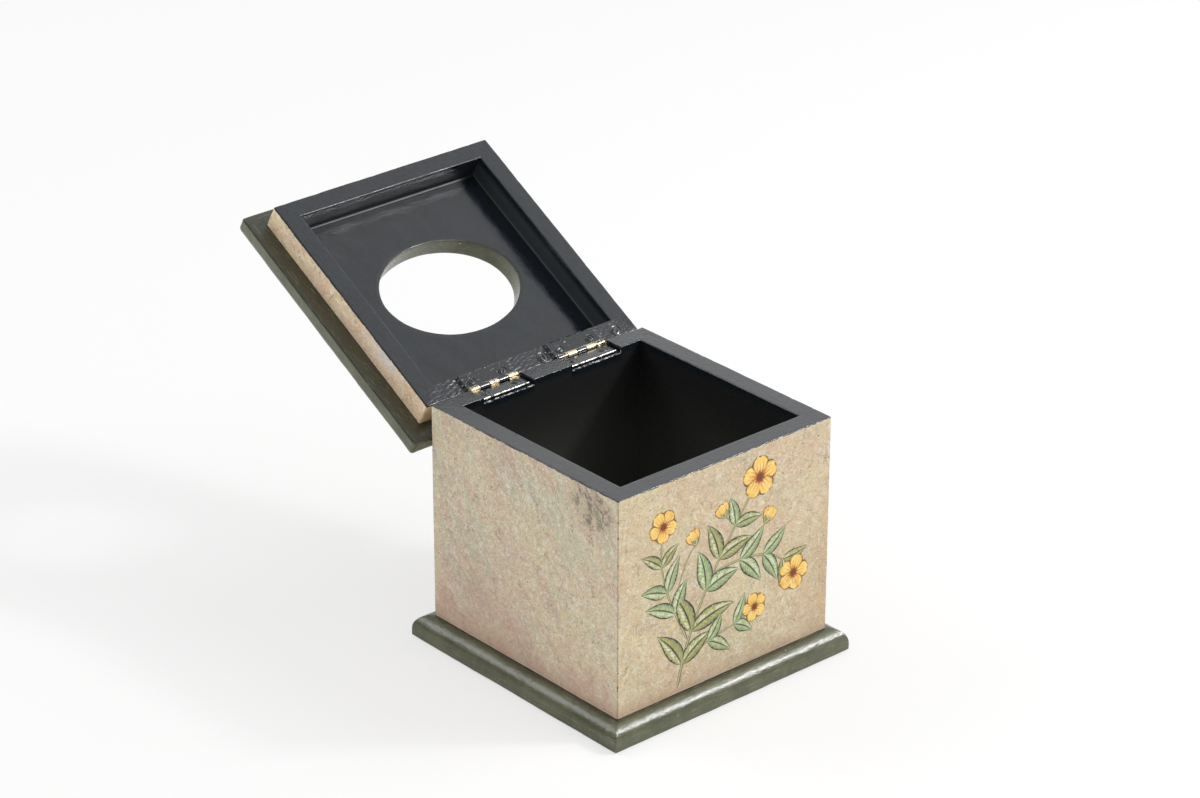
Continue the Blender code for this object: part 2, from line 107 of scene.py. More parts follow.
HINGE_LENGTH = 0.0306
KNUCKLE_RADIUS = 0.0016
KNUCKLE_BORE = 0.00085
KNUCKLE_COUNT = 5
KNUCKLE_GAP = 0.0003
LEAF_THICKNESS = 0.0010
LEAF_REACH = 0.0103
LEAF_NOTCH = 0.0019
LEAF_ROUND = 0.00045
STRIP_BEVEL = 0.00012
PIN_RADIUS = 0.00075
PIN_PROUD = 0.0003
PIN_BEVEL = 0.0002
KNUCKLE_TURN = math.radians(196)
KNUCKLE_RUN = (-LEAF_NOTCH - 0.0004, -0.0014, -0.0008)
POCKET_FLOOR_Z = AXIS_Z - AXIS_TO_RAILS
POCKET_PLAY = 0.0012
POCKET_FADE = 0.0006
POCKET_BEAD = 0.0008
POCKET_BEAD_IN = 0.0004
POCKET_BEAD_HIGH = 0.00045
POCKET_BEAD_END = (-0.0002, 0.0008)
RAIL_FADE = (0.0002, 0.0008)
# Reaches of painted shade on the olive: by the walls on the base's top, and under the panel's
# overhang
BASE_PAINTED_SHADE = (0.0012, 0.0034)
PANEL_PAINTED_SHADE = (0.0002, 0.0012)
LEAF_BANK = 0.0007
LEAF_BANK_HIGH = 0.00105
LEAF_SPILL = 0.007
LEAF_SPILL_HIGH = 0.00016
SCREW_FROM_END = 0.0053
SCREW_FROM_AXIS = 0.0050
SCREW_SINK = 0.0002
RAIL_SCREW_FROM_BACK = 0.0040

# Screws: radius of the head, radius of the shank, length, height of the crown, slot's width
HINGE_SCREW = (0.0022, 0.0011, 0.0085, 0.0015, 0.0007)
RAIL_SCREW = (0.0027, 0.0014, 0.0183, 0.0011, 0.0008)

# Reliefs: depth or height, seed of the noise, its wavelength
BOARD_SWEEP = (0.00005, 3, 0.030)
BOARD_TOOTH = (0.00002, 4, 0.0035)
POCKET_BRUSH = (0.00005, 15, 0.0018)
RAIL_BRUSH = (0.00006, 16, 0.0016)
BEAD_LUMPS = (0.9, 17, 0.0013)
BANK_LUMPS = (1.0, 11, 0.0016)
SCREW_LUMPS = (0.05, 19, 0.0022)
PLATE_BUMPS = ((0.25, 0.050), (0.18, 0.016), (0.07, 0.0048))
BASE_WEAR = (31, 0.00040)
PANEL_WEAR = (41, 0.00030)

# Dents along a frame's outer edge: seed and count, and the ranges of their widths and depths
WALL_DENTS = (21, 34)
RAIL_DENTS = (22, 30)
DENT_WIDTHS = (0.0005, 0.0016)
DENT_DEPTHS = (0.00003, 0.00016)

# Films of the painted spray
FILM_HIGH = 0.00003
FILM_CROWN = 0.00003
FILM_SUNK = 0.00008
LAYER_HIGH = 0.000018

# Rows of a board's mesh: up the inner face, over the rim, and down the outer face
WALL_ROWS = (60, 14, 119)
BACK_WALL_ROWS = (60, 24, 60)
RAIL_ROWS = (20, 14, 16)
BACK_RAIL_ROWS = (20, 26, 20)

# How far the base's rings are drawn in to its middle, above and underneath
BASE_PULL = (1.0, 0.75, 0.5, 0.3, 0.18, 0.12, 0.09, 0.07, 0.055, 0.042, 0.03, 0.018, 0.008)
BASE_LOWER_PULL = (0.02, 0.06, 0.15, 0.4, 0.7, 1.0)

# Rows and steps of the other meshes
CORNER_STEPS = 8
SIDE_STEPS = 116
SMALL_ROUND_ROWS = 6
LARGE_ROUND_ROWS = 14
SECTION_ROUND_ROWS = 5
BASE_SIDE_ROWS = 8
PANEL_SIDE_ROWS = 6
PANEL_FACE_ROWS = 30
HOLE_ROWS = 9
LEAF_ROUND_ROWS = 7
LEAF_PLATE_ROWS = 12
KNUCKLE_ROWS = 34
SCREW_STEPS = 48
PIN_STEPS = 32
FILM_ROWS = 13
UNDER_ROWS = 5
STEM_STATIONS = 60
BUD_STATIONS = 24
LEAF_STATIONS = 28
PETAL_STATIONS = 20

# Mesh spacing and the smallest distance at which points are one
WALL_STEP = 0.0010
FINE_STEP = 0.0005
MERGE = 0.0000005
SHARP_ANGLE = math.radians(48)
TINY = 0.00005
LID_FOOT_LIFT = 0.02
MILLIMETRE = 0.001

# Camera of the photograph
CAMERA_PLACE = (-1.19719, -1.34369, 1.00493)
CAMERA_AZIMUTH = math.radians(-41.2187)
CAMERA_ELEVATION = math.radians(25.7486)
CAMERA_ROLL = math.radians(0.0751)
CAMERA_LENS = 121.81


# Points and noise

def together(*values):
    """Values that spread to one shape, side by side along a new last axis."""
    return np.stack(np.broadcast_arrays(*values), axis=-1)


def raised(flat, height):
    """Points over rows of x and y, at a height."""
    return together(flat[..., 0], flat[..., 1], height)


def around(angle):
    """Unit directions in a plane at each angle."""
    return together(np.cos(angle), np.sin(angle))


def quarter(count):
    """Angles over a quarter turn."""
    return np.linspace(0, math.pi / 2, count)


def walked_along(line):
    """Length from a line's start to each of its points."""
    steps = np.linalg.norm(np.diff(line, axis=0), axis=1)
    return np.concatenate([[0], np.cumsum(steps)])


def turned_open(points):
    """Closed lid points turned back about the hinge axis by the open angle."""
    y, z = points[..., 1] - AXIS_Y, points[..., 2] - AXIS_Z
    cosine, sine = math.cos(OPEN_ANGLE), math.sin(OPEN_ANGLE)
    return together(points[..., 0], AXIS_Y + y * cosine + z * sine, AXIS_Z - y * sine + z * cosine)


def swell(points, seed, wavelength, count=16):
    """Smooth noise from -1 to 1: a sum of sines of the points along random directions."""
    random = np.random.default_rng(seed)
    ways = random.normal(size=(count, points.shape[-1]))
    ways /= np.linalg.norm(ways, axis=1, keepdims=True)
    ways *= 2 * math.pi / wavelength * random.uniform(0.6, 1.5, (count, 1))
    phases = random.uniform(0, 2 * math.pi, count)
    return np.tanh(np.sin(points @ ways.T + phases).sum(-1) / math.sqrt(count))


def smooth_step(value, low, high):
    """0 up to low, 1 from high on, and 3 s squared - 2 s cubed between, s being the share."""
    share = np.clip((value - low) / (high - low), 0, 1)
    return share * share * (3 - 2 * share)


# Meshes from grids

class Shell:
    """Patches of grid points, welded into one closed mesh with three vectors kept at each point.

    laid is where a finish is laid out, stroke runs along and across the brush, and place tells
    the finish where the point lies on its piece. Each is the point itself where none is given.
    """

    def __init__(self):
        self.points, self.quads, self.count = [], [], 0
        self.marks = {"laid": [], "stroke": [], "place": []}

    def patch(self, points, ring_rows=False, ring_columns=False, **marks):
        """Adds a grid of points, closed along its rows or its columns where asked."""
        rows, columns = points.shape[:2]
        numbers = np.arange(rows * columns).reshape(rows, columns) + self.count
        if ring_rows:
            numbers = np.vstack([numbers, numbers[:1]])
        if ring_columns:
            numbers = np.hstack([numbers, numbers[:, :1]])
        corners = (numbers[:-1, :-1], numbers[1:, :-1], numbers[1:, 1:], numbers[:-1, 1:])
        self.quads.append(np.stack(corners, axis=-1).reshape(-1, 4))
        self.points.append(points.reshape(-1, 3))
        for name, kept in self.marks.items():
            kept.append(np.broadcast_to(marks.get(name, points), points.shape).reshape(-1, 3))
        self.count += rows * columns

    def fan(self, ring, flip, **marks):
        """Closes a ring of points with triangles to its middle."""
        spread = np.stack([ring, np.broadcast_to(ring.mean(axis=0), ring.shape)])
        grids = {name: np.stack([mark, mark]) for name, mark in marks.items()}
        self.patch(spread[::-1] if flip else spread, ring_columns=True, **grids)

    def mesh(self, name):
        """Welds points that share a place, and turns the faces outward by the enclosed volume."""
        points, quads = np.concatenate(self.points), np.concatenate(self.quads)
        places = np.round(points / MERGE).astype(np.int64)
        _, first, same = np.unique(places, axis=0, return_index=True, return_inverse=True)
        quads, points = same.reshape(-1)[quads], points[first]
        apart = quads != np.roll(quads, -1, axis=1)
        corners = apart.sum(axis=1)
        threes = quads[corners == 3][apart[corners == 3]].reshape(-1, 3)
        quads = quads[corners == 4]
        triangles = np.concatenate([quads[:, :3], quads[:, (0, 2, 3)], threes])
        a, b, c = (points[triangles[:, corner]] for corner in range(3))
        if np.einsum("ij,ij->", a, np.cross(b, c)) < 0:
            quads, threes = quads[:, ::-1], threes[:, ::-1]
        mesh = bpy.data.meshes.new(name)
        mesh.vertices.add(len(points))
        write_points(mesh, points)
        loops = np.concatenate([quads.ravel(), threes.ravel()]).astype(np.int32)
        starts = np.arange(len(quads) + len(threes)) * 4
        starts[len(quads):] -= np.arange(len(threes))
        mesh.loops.add(len(loops))
        mesh.loops.foreach_set("vertex_index", loops)
        mesh.polygons.add(len(starts))
        mesh.polygons.foreach_set("loop_start", starts.astype(np.int32))
        mesh.update(calc_edges=True)
        for kept, values in self.marks.items():
            layer = mesh.attributes.new(kept, "FLOAT_VECTOR", "POINT")
            values = np.concatenate(values)[first]
            layer.data.foreach_set("vector", values.astype(np.float32).ravel())
        mesh.shade_smooth()
        mesh.set_sharp_from_angle(angle=SHARP_ANGLE)
        return mesh


def read_rows(mesh, what):
    """The vertices' places or normals as rows of three."""
    rows = np.empty(len(mesh.vertices) * 3)
    mesh.vertices.foreach_get(what, rows)
    return rows.reshape(-1, 3)


def write_points(mesh, points):
    """Moves the mesh's vertices to the points."""
    mesh.vertices.foreach_set("co", points.astype(np.float32).ravel())
    mesh.update()


def piece(name, mesh, material, body, nodes=()):
    """An object at the origin that rides on a body and stands for the nodes that it replaces."""
    made = bpy.data.objects.new(name, mesh)
    bpy.context.scene.collection.objects.link(made)
    mesh.materials.append(material)
    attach(made, body)
    if nodes:
        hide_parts(*nodes)


def shell_piece(prefix, node, shell, finish, body):
    """A shell as the piece for a node. The lid's is turned open, but its marks stay closed."""
    if body == "lid":
        shell.points = [turned_open(points) for points in shell.points]
    piece(prefix + node, shell.mesh(node), finish, body, (node,))


# Square frames of boards: the four walls, and the four rails of the lid

def board_path(half_along, half_across, thickness, step, takes_corners, trims):
    """One board of a square frame seen from above, facing -Y, walked from left to right.

    Gives rows of outer point, inner point, outward direction, length walked and distance from
    the frame's nearest corner. A board that takes the corners runs its outer line down the left
    end, round an arc, along the face, and up the right end; its inner line waits at each corner.
    trims are the widths of the boards that meet it at its left and right ends.
    """
    left_trim, right_trim = trims
    reach = half_along - left_trim
    count = max(2, round(2 * reach / step))
    outer = together(np.linspace(-reach, half_along - right_trim, count + 1), -half_across)
    inner = outer + (0, thickness)
    away = np.broadcast_to((0.0, -1.0), outer.shape)
    if takes_corners:
        round_x, round_y = WALL_CORNER_ROUND - half_along, WALL_CORNER_ROUND - half_across
        end_y = np.linspace(thickness - half_across, round_y, CORNER_STEPS + 1)[:-1]
        ways = around(math.pi + quarter(CORNER_STEPS + 1))
        face_steps = round((left_trim - WALL_CORNER_ROUND) / step)
        face_x = np.linspace(round_x, -reach, 1 + face_steps)[1:-1]
        arc = np.array((round_x, round_y)) + WALL_CORNER_ROUND * ways
        left = np.concatenate([together(-half_along, end_y), arc, together(face_x, -half_across)])
        left_away = np.concatenate([
            np.tile((-1.0, 0.0), (len(end_y), 1)), ways, np.tile((0.0, -1.0), (len(face_x), 1)),
        ])
        mirror = np.array((-1.0, 1.0))
        corner = np.broadcast_to((-reach, thickness - half_across), left.shape)
        outer = np.concatenate([left, outer, left[::-1] * mirror])
        inner = np.concatenate([corner, inner, corner * mirror])
        away = np.concatenate([left_away, away, left_away[::-1] * mirror])
    to_corner = np.max((half_along, half_across) - np.abs(outer), axis=1)
    return outer, inner, away, walked_along(outer), to_corner


def board_section(thickness, height, rows, cove):
    """The board's section, walked up the inner face, over the rim and down the outer face.

    Gives rows of reach from the inner face, height above the foot, the section's normal, and the
    distance past the rim's outer edge, below zero on the rim and the inner face. A cove swells
    the foot of the inner face by a quarter of a circle.
    """
    inner_rows, rim_rows, outer_rows = rows
    cosine, sine = around(quarter(SECTION_ROUND_ROWS)).T
    round_z, outer_round = height - RIM_ROUND, thickness - RIM_ROUND
    inner_rise = np.linspace(cove, round_z, inner_rows)[:-1]
    parts = []
    if cove:
        parts.append(together(cove * sine - cove, cove - cove * cosine, -cosine, sine))
        inner_rise = inner_rise[1:]
    parts += [
        together(0.0, inner_rise, -1.0, 0.0),
        together(RIM_ROUND - RIM_ROUND * cosine, round_z + RIM_ROUND * sine, -cosine, sine),
        together(np.linspace(RIM_ROUND, outer_round, rim_rows)[1:-1], height, 0.0, 1.0),
        together(outer_round + RIM_ROUND * sine, round_z + RIM_ROUND * cosine, sine, cosine),
        together(thickness, np.linspace(round_z, 0, outer_rows)[1:], 1.0, 0.0),
    ]
    reach, rise, across, up = np.concatenate(parts).T
    walked = walked_along(together(reach, rise))
    edge = np.argmin(np.hypot(reach - thickness, rise - height))
    return reach, rise, across, up, walked - walked[edge]


def turn_about_z(points, quarters):
    """Rows of x and y turned anticlockwise by quarter turns."""
    for _ in range(quarters):
        points = together(-points[..., 1], points[..., 0])
    return points


def board_shell(path, section, foot, way, quarters, start, tops, relief):
    """Inner point + (outer - inner) * reach / thickness, at foot + way * rise, then the relief.

    tops scales the rise at each station, which sinks the hinge pockets into a rim.
    """
    outer, inner, away, walked, to_corner = path
    reach, rise, across, up, past_rim = section
    flat = inner[:, None] + (outer - inner)[:, None] * (reach / reach.max())[:, None]
    lift = rise * np.reshape(tops / rise.max(), (-1, 1))
    points = raised(turn_about_z(flat, quarters), foot + way * lift)
    normal = raised(turn_about_z(away[:, None] * across[:, None], quarters), way * up)
    points = points + normal * relief(points)[..., None]
    above_foot = lift if way > 0 else lift + LID_FOOT_LIFT
    marks = {
        "laid": points,
        "stroke": together((walked + start)[:, None], past_rim, 0.0),
        "place": together(past_rim, to_corner[:, None], above_foot),
    }
    shell = Shell()
    shell.patch(points, ring_columns=True, **marks)
    for station, flip in ((0, True), (-1, False)):
        ends = {name: mark[station] for name, mark in marks.items()}
        shell.fan(points[station], flip, **ends)
    return shell


def square_frame(nodes, body, foot, way, height, widths, rows, cove, reliefs, finish):
    """Four boards from the front one anticlockwise, the front and back ones taking the corners.

    widths are those of the front, side and back boards. rows and reliefs hold one for the front
    and the sides, and one for the back, which has a finer mesh and, on the box, hinge pockets.
    """
    front, side, back = widths
    cross = board_path(HALF_WIDTH, HALF_DEPTH, front, WALL_STEP, True, (side, side))
    right = board_path(HALF_DEPTH, HALF_WIDTH, side, WALL_STEP, False, (front, back))
    fine = board_path(HALF_WIDTH, HALF_DEPTH, back, FINE_STEP, True, (side, side))
    left = board_path(HALF_DEPTH, HALF_WIDTH, side, WALL_STEP, False, (back, front))
    tops = height
    if body == "box":
        fine, tops = pocket_stations(fine, height)
    starts = np.cumsum([0, cross[3][-1], right[3][-1], cross[3][-1]])
    boards = (
        (cross, front, height, 0), (right, side, height, 0),
        (fine, back, tops, 1), (left, side, height, 0),
    )
    for quarters, (path, width, top, kind) in enumerate(boards):
        section = board_section(width, height, rows[kind], cove)
        start, relief = starts[quarters], reliefs[kind]
        shell = board_shell(path, section, foot, way, quarters, start, top, relief)
        shell_piece("painted_", nodes[quarters], shell, finish, body)


def worn_relief(dented, z):
    """Hand-finished faces: a slow sweep and a fine tooth, and dents along the frame's outer edge.

    Each dent is a bell of the distance from its place, and the deepest one at a point is kept.
    """
    seed, count = dented
    random = np.random.default_rng(seed)
    along = random.uniform(-1, 1, count)
    side = random.integers(0, 4, count)
    x = np.where(side % 2 == 0, along, np.where(side == 1, 1, -1)) * HALF_WIDTH
    y = np.where(side % 2 == 1, along, np.where(side == 0, 1, -1)) * HALF_DEPTH
    dents = list(zip(
        together(x, y, z),
        random.uniform(*DENT_WIDTHS, count),
        random.uniform(*DENT_DEPTHS, count),
    ))

    def relief(points):
        """The boards' relief, less the deepest dent at each point."""
        dent = np.zeros(points.shape[:-1])
        for place, wide, deep in dents:
            bell = np.exp(-np.sum((points - place) ** 2, axis=-1) / wide ** 2)
            dent = np.maximum(dent, deep * bell)
        return board_relief(points) - dent

    return relief


def board_relief(points):
    """Depths from 0 to twice the relief's, all inward of the true face."""
    sweep, tooth = (
        depth * (1 + swell(points, seed, wavelength))
        for depth, seed, wavelength in (BOARD_SWEEP, BOARD_TOOTH)
    )
    return -sweep - tooth


def brushed(points, along, brush):
    """Marks of a height, seed and wavelength, drawn out along X where along is under 1."""
    height, seed, wavelength = brush
    return height * swell(points * (along, 1.0, 1.0), seed, wavelength)


def wall_boards(finish):
    """Four walls, tight against each other and the base, with pockets in the back one's rim."""
    relief = worn_relief(WALL_DENTS, RIM_Z)

    def back_relief(points):
        """Brush marks on the rim, and a lumpy bead of paint along the pockets' open edge."""
        rim = smooth_step(points[..., 2], POCKET_FLOOR_Z - POCKET_FADE, POCKET_FLOOR_Z)
        marks = brushed(points, 0.5, POCKET_BRUSH) - POCKET_BRUSH[0]
        beside = np.abs(np.abs(points[..., 0]) - HINGE_X) - HINGE_LENGTH / 2 - POCKET_PLAY
        edge = (points[..., 1] - HALF_DEPTH + WALL - POCKET_BEAD_IN) / POCKET_BEAD
        bead = np.exp(-edge ** 2) * (1 - smooth_step(beside, *POCKET_BEAD_END))
        lumps = 0.45 + brushed(points, 1.0, BEAD_LUMPS)
        return relief(points) + rim * (marks + POCKET_BEAD_HIGH * bead * lumps)

    nodes = ("front_wall", "right_wall", "back_wall", "left_wall")
    square_frame(
        nodes, "box", FOOT_Z, 1, RIM_Z - FOOT_Z, (WALL, WALL, WALL), (WALL_ROWS, BACK_WALL_ROWS),
        0.0, (relief, back_relief), finish,
    )


def pocket_stations(path, height):
    """Adds a pair of close stations at each pocket's end, and gives the rim's height at each."""
    half = HINGE_LENGTH / 2 + POCKET_PLAY
    ends = np.array([side * HINGE_X + way * half for side in (-1, 1) for way in (-1, 1)])
    x = path[0][:, 0]
    middle = np.flatnonzero(np.abs(x) < HALF_WIDTH - WALL - TINY)
    stations = np.sort(np.concatenate([x[middle], ends - TINY, ends + TINY]))

    def widen(values):
        """The values with the middle ones worked out again at the new stations."""
        columns = values.reshape(len(values), -1).T
        fresh = together(*(np.interp(stations, x[middle], column[middle]) for column in columns))
        fresh = fresh.reshape(-1, *values.shape[1:])
        return np.concatenate([values[:middle[0]], fresh, values[middle[-1] + 1:]])

    path = tuple(widen(values) for values in path)
    in_pocket = np.abs(np.abs(path[0][:, 0]) - HINGE_X) < half
    return path, np.where(in_pocket, POCKET_FLOOR_Z - FOOT_Z, height)


def rail_boards(finish):
    """The lid's four rails, hanging from the panel, with paint pushed up round the hinges."""
    relief = worn_relief(RAIL_DENTS, RAILS_Z)

    def back_relief(points):
        """Brush marks, and a bank of paint that falls away from each leaf's rectangle."""
        rim = 1 - smooth_step(points[..., 2] - RAILS_Z, *RAIL_FADE)
        x = np.abs(np.abs(points[..., 0]) - HINGE_X) - HINGE_LENGTH / 2
        middle_y = AXIS_Y - (LEAF_REACH + LEAF_NOTCH) / 2
        y = np.abs(points[..., 1] - middle_y) - (LEAF_REACH - LEAF_NOTCH) / 2
        outside = np.hypot(np.maximum(x, 0), np.maximum(y, 0))
        bank = LEAF_BANK_HIGH * np.exp(-(outside / LEAF_BANK) ** 2)
        spill = LEAF_SPILL_HIGH * np.exp(-(outside / LEAF_SPILL) ** 2)
        lumps = brushed(points, 0.5, BANK_LUMPS)
        paint = bank * (1 + 0.30 * lumps) + spill * lumps
        return relief(points) + rim * (paint + brushed(points, 0.4, RAIL_BRUSH))

    nodes = ("lid_front_rail", "lid_right_rail", "lid_back_rail", "lid_left_rail")
    widths = (FRONT_RAIL_WIDTH, RAIL_WIDTH, RAIL_WIDTH)
    square_frame(
        nodes, "lid", PANEL_Z, -1, PANEL_Z - RAILS_Z, widths, (RAIL_ROWS, BACK_RAIL_ROWS),
        COVE, (relief, back_relief), finish,
    )


# Plates carried round a rectangle: the base, and the lid's panel with its hole

def ring(half, corner, inset):
    """A rectangle's outline at each inset, with corners that tighten as it shrinks.

    It runs anticlockwise from the middle of the back. Each station has a place on the core, from
    -1 to 1 both ways, and a direction in which the corner's round is laid on the core.
    """
    side_half = np.linspace(0, 1, SIDE_STEPS // 2 + 1)[:-1]
    cores, ways = [], []
    for number in range(5):
        angle = (1 + number) * math.pi / 2
        share = np.concatenate([side_half - 1] * (number > 0) + [side_half] * (number < 4))
        way, side = around(angle), around(angle + math.pi / 2)
        cores.append(way + share[:, None] * side)
        ways.append(np.broadcast_to(way, (len(share), 2)))
        if number < 4:
            ways.append(around(angle + quarter(CORNER_STEPS + 1)))
            cores.append(np.broadcast_to(way + side, ways[-1].shape))
    inset = np.asarray(inset)[:, None, None]
    corner = np.maximum(corner - inset * 0.3, LEAST_CORNER)
    return np.concatenate(cores) * (half - inset - corner) + np.concatenate(ways) * corner


def quarter_rows(radius, count):
    """Inset and drop along a quarter round, from the flat face to the side."""
    cosine, sine = around(quarter(count)).T
    return radius * (1 - sine), radius * (1 - cosine)


def plate_mesh(name, points, edge, border, shade, wear, ring_rows=False):
    """The mesh of rings of points, pushed in along its normals by slow bumps and a finer grain.

    stroke holds the way round and the way across, in metres; the way round is measured from the
    middle of the back, both ways to the middle of the front. border is below zero where the
    plate faces inside, and shade is how much painted shade darkens it, 0 to 1.
    """
    walked = walked_along(edge)
    whole = walked[-1] + np.linalg.norm(edge[-1] - edge[0])
    walked = np.minimum(walked, whole - walked)
    shell = Shell()
    shell.patch(
        points, ring_rows, True,
        stroke=together(walked, walked_along(points[:, 0])[:, None], points[..., 0]),
        place=together(border, shade, points[..., 2]),
    )
    mesh = shell.mesh(name)
    skin = read_rows(mesh, "co")
    seed, deep = wear
    depth = sum(
        deep * share * (1 + swell(skin, seed + number, wavelength))
        for number, (share, wavelength) in enumerate(PLATE_BUMPS)
    )
    write_points(mesh, skin - read_rows(mesh, "normal") * depth[:, None])
    return mesh


def base_board(finish):
    """Base plate with a large round on its upper edge, its rings drawn in to its middle."""
    half = (HALF_WIDTH + BASE_OVERHANG, HALF_DEPTH + BASE_OVERHANG)
    top, bottom = base_high.z, base_low.z
    inset_top, drop_top = quarter_rows(BASE_TOP_ROUND, LARGE_ROUND_ROWS)
    inset_low, drop_low = quarter_rows(BASE_LOWER_ROUND, SMALL_ROUND_ROWS)
    side = np.linspace(top - BASE_TOP_ROUND, bottom + BASE_LOWER_ROUND, BASE_SIDE_ROWS)[1:-1]
    rows = np.concatenate([
        together(BASE_TOP_ROUND, top, BASE_PULL),
        together(inset_top, top - drop_top, 0.0),
        together(0.0, side, 0.0),
        together(inset_low, bottom + drop_low, 0.0)[::-1],
        together(BASE_LOWER_ROUND, bottom, BASE_LOWER_PULL),
    ])
    inset, height, drawn = rows.T
    flat = ring(half, BASE_CORNER_ROUND, inset) * (1 - drawn)[:, None, None]
    points = raised(flat, height[:, None])
    reach = np.max(np.abs(flat), axis=-1)
    on_face = points[..., 2] > top - TINY
    border = np.where(on_face, reach - (HALF_WIDTH - WALL / 2), BASE_TOP_ROUND)
    # Painted shade: the olive on the base's top is darkened next to the walls
    on_top = points[..., 2] > top - BASE_TOP_ROUND / 3
    shade = np.where(on_top, 1 - smooth_step(reach - HALF_WIDTH, *BASE_PAINTED_SHADE), 0.0)
    edge = ring(half, BASE_CORNER_ROUND, [0.0])[0]
    mesh = plate_mesh("base_plate", points, edge, border, shade, BASE_WEAR)
    piece("painted_base_plate", mesh, finish, "box", ("base_plate",))


def panel_board(finish):
    """Lid panel: a closed ring from the hole's wall over the top, the edge and the underside."""
    half_y = HALF_DEPTH + (PANEL_BACK_OVERHANG + PANEL_FRONT_OVERHANG) / 2
    half = (HALF_WIDTH + PANEL_SIDE_OVERHANG, half_y)
    middle = np.array((0.0, (PANEL_BACK_OVERHANG - PANEL_FRONT_OVERHANG) / 2))
    hole_middle = np.array((0.0, HOLE_BEHIND_MIDDLE))
    low, top = PANEL_Z, PANEL_Z + PANEL_THICKNESS
    edge = ring(half, PANEL_CORNER_ROUND, [PANEL_TOP_ROUND])[0] + middle - hole_middle
    oval = around(np.arctan2(edge[:, 1] * HOLE_WIDTH, edge[:, 0] * HOLE_DEPTH))
    hole_size = np.array((HOLE_WIDTH, HOLE_DEPTH)) / 2
    inset_top, drop_top = quarter_rows(PANEL_TOP_ROUND, LARGE_ROUND_ROWS)
    inset_low, drop_low = quarter_rows(PANEL_LOWER_ROUND, SMALL_ROUND_ROWS)
    inset_hole, drop_hole = quarter_rows(HOLE_ROUND, SMALL_ROUND_ROWS)
    wall = np.linspace(low + HOLE_ROUND, top - HOLE_ROUND, HOLE_ROWS)[1:-1]
    side = np.linspace(top - PANEL_TOP_ROUND, low + PANEL_LOWER_ROUND, PANEL_SIDE_ROWS)[1:-1]
    grow = np.concatenate([inset_hole, np.zeros(len(wall)), inset_hole[::-1]])
    hole = hole_middle + oval * (hole_size + grow[:, None, None])
    inset = np.concatenate([inset_top, np.zeros(len(side)), inset_low[::-1]])
    outer = ring(half, PANEL_CORNER_ROUND, inset) + middle
    share = np.linspace(0, 1, PANEL_FACE_ROWS)[1:-1, None, None]
    lip = hole_middle + oval * (hole_size + HOLE_ROUND)
    over = lip + (outer[0] - lip) * share
    under = outer[-1] + (lip - outer[-1]) * share
    flat = np.concatenate([hole, over, outer, under])
    height = np.concatenate([
        low + drop_hole, wall, top - drop_hole[::-1], np.full(len(over), top),
        top - drop_top, side, low + drop_low[::-1], np.full(len(under), low),
    ])
    points = raised(flat, height[:, None])
    inside = HALF_WIDTH - RAIL_WIDTH / 2 - np.max(np.abs(flat), axis=-1)
    facing_in = (points[..., 2] < low + TINY) & (inside > 0)
    border = np.where(facing_in, -np.minimum(inside, BASE_TOP_ROUND), BASE_TOP_ROUND)
    # Painted shade: the underside of the panel's overhang, beside the rails, is darkened
    shade = 1 - smooth_step(points[..., 2] - low, *PANEL_PAINTED_SHADE)
    shade = np.where(inside > 0, 0.0, shade)
    edge = ring(half, PANEL_CORNER_ROUND, [0.0])[0]
    mesh = plate_mesh("lid_top_panel", points, edge, border, shade, PANEL_WEAR, True)
    write_points(mesh, turned_open(read_rows(mesh, "co")))
    piece("painted_lid_panel", mesh, finish, "lid", ("lid_top_panel",))


# Hinges

def strip(shell, outer, inner, x_low, x_high, wear):
    """A bent strip's closed outline carried along X, drawn in by a bevel at both closed ends."""
    middle, half = (outer + inner) / 2, (outer - inner) / 2
    thick = np.linalg.norm(half, axis=1).max()
    along, drawn = np.array(((0, 1), (0.3, 0.3), (1, 0), (2, 0))).T * STRIP_BEVEL
    x = np.concatenate([x_low + along, x_high - along[::-1]])
    reach = half * (1 - np.concatenate([drawn, drawn[::-1]]) / thick)[:, None, None]
    flat = np.concatenate([middle + reach, (middle - reach)[:, ::-1]], axis=1)
    loops = together(x[:, None], flat[..., 0], flat[..., 1])
    mark = (wear, 0.0, 0.0)
    shell.patch(loops, ring_columns=True, place=mark)
    for loop, order in ((loops[0], -1), (loops[-1], 1)):
        end = np.stack([loop[:len(outer)], loop[len(outer):][::-1]])
        shell.patch(end[::order], place=mark)


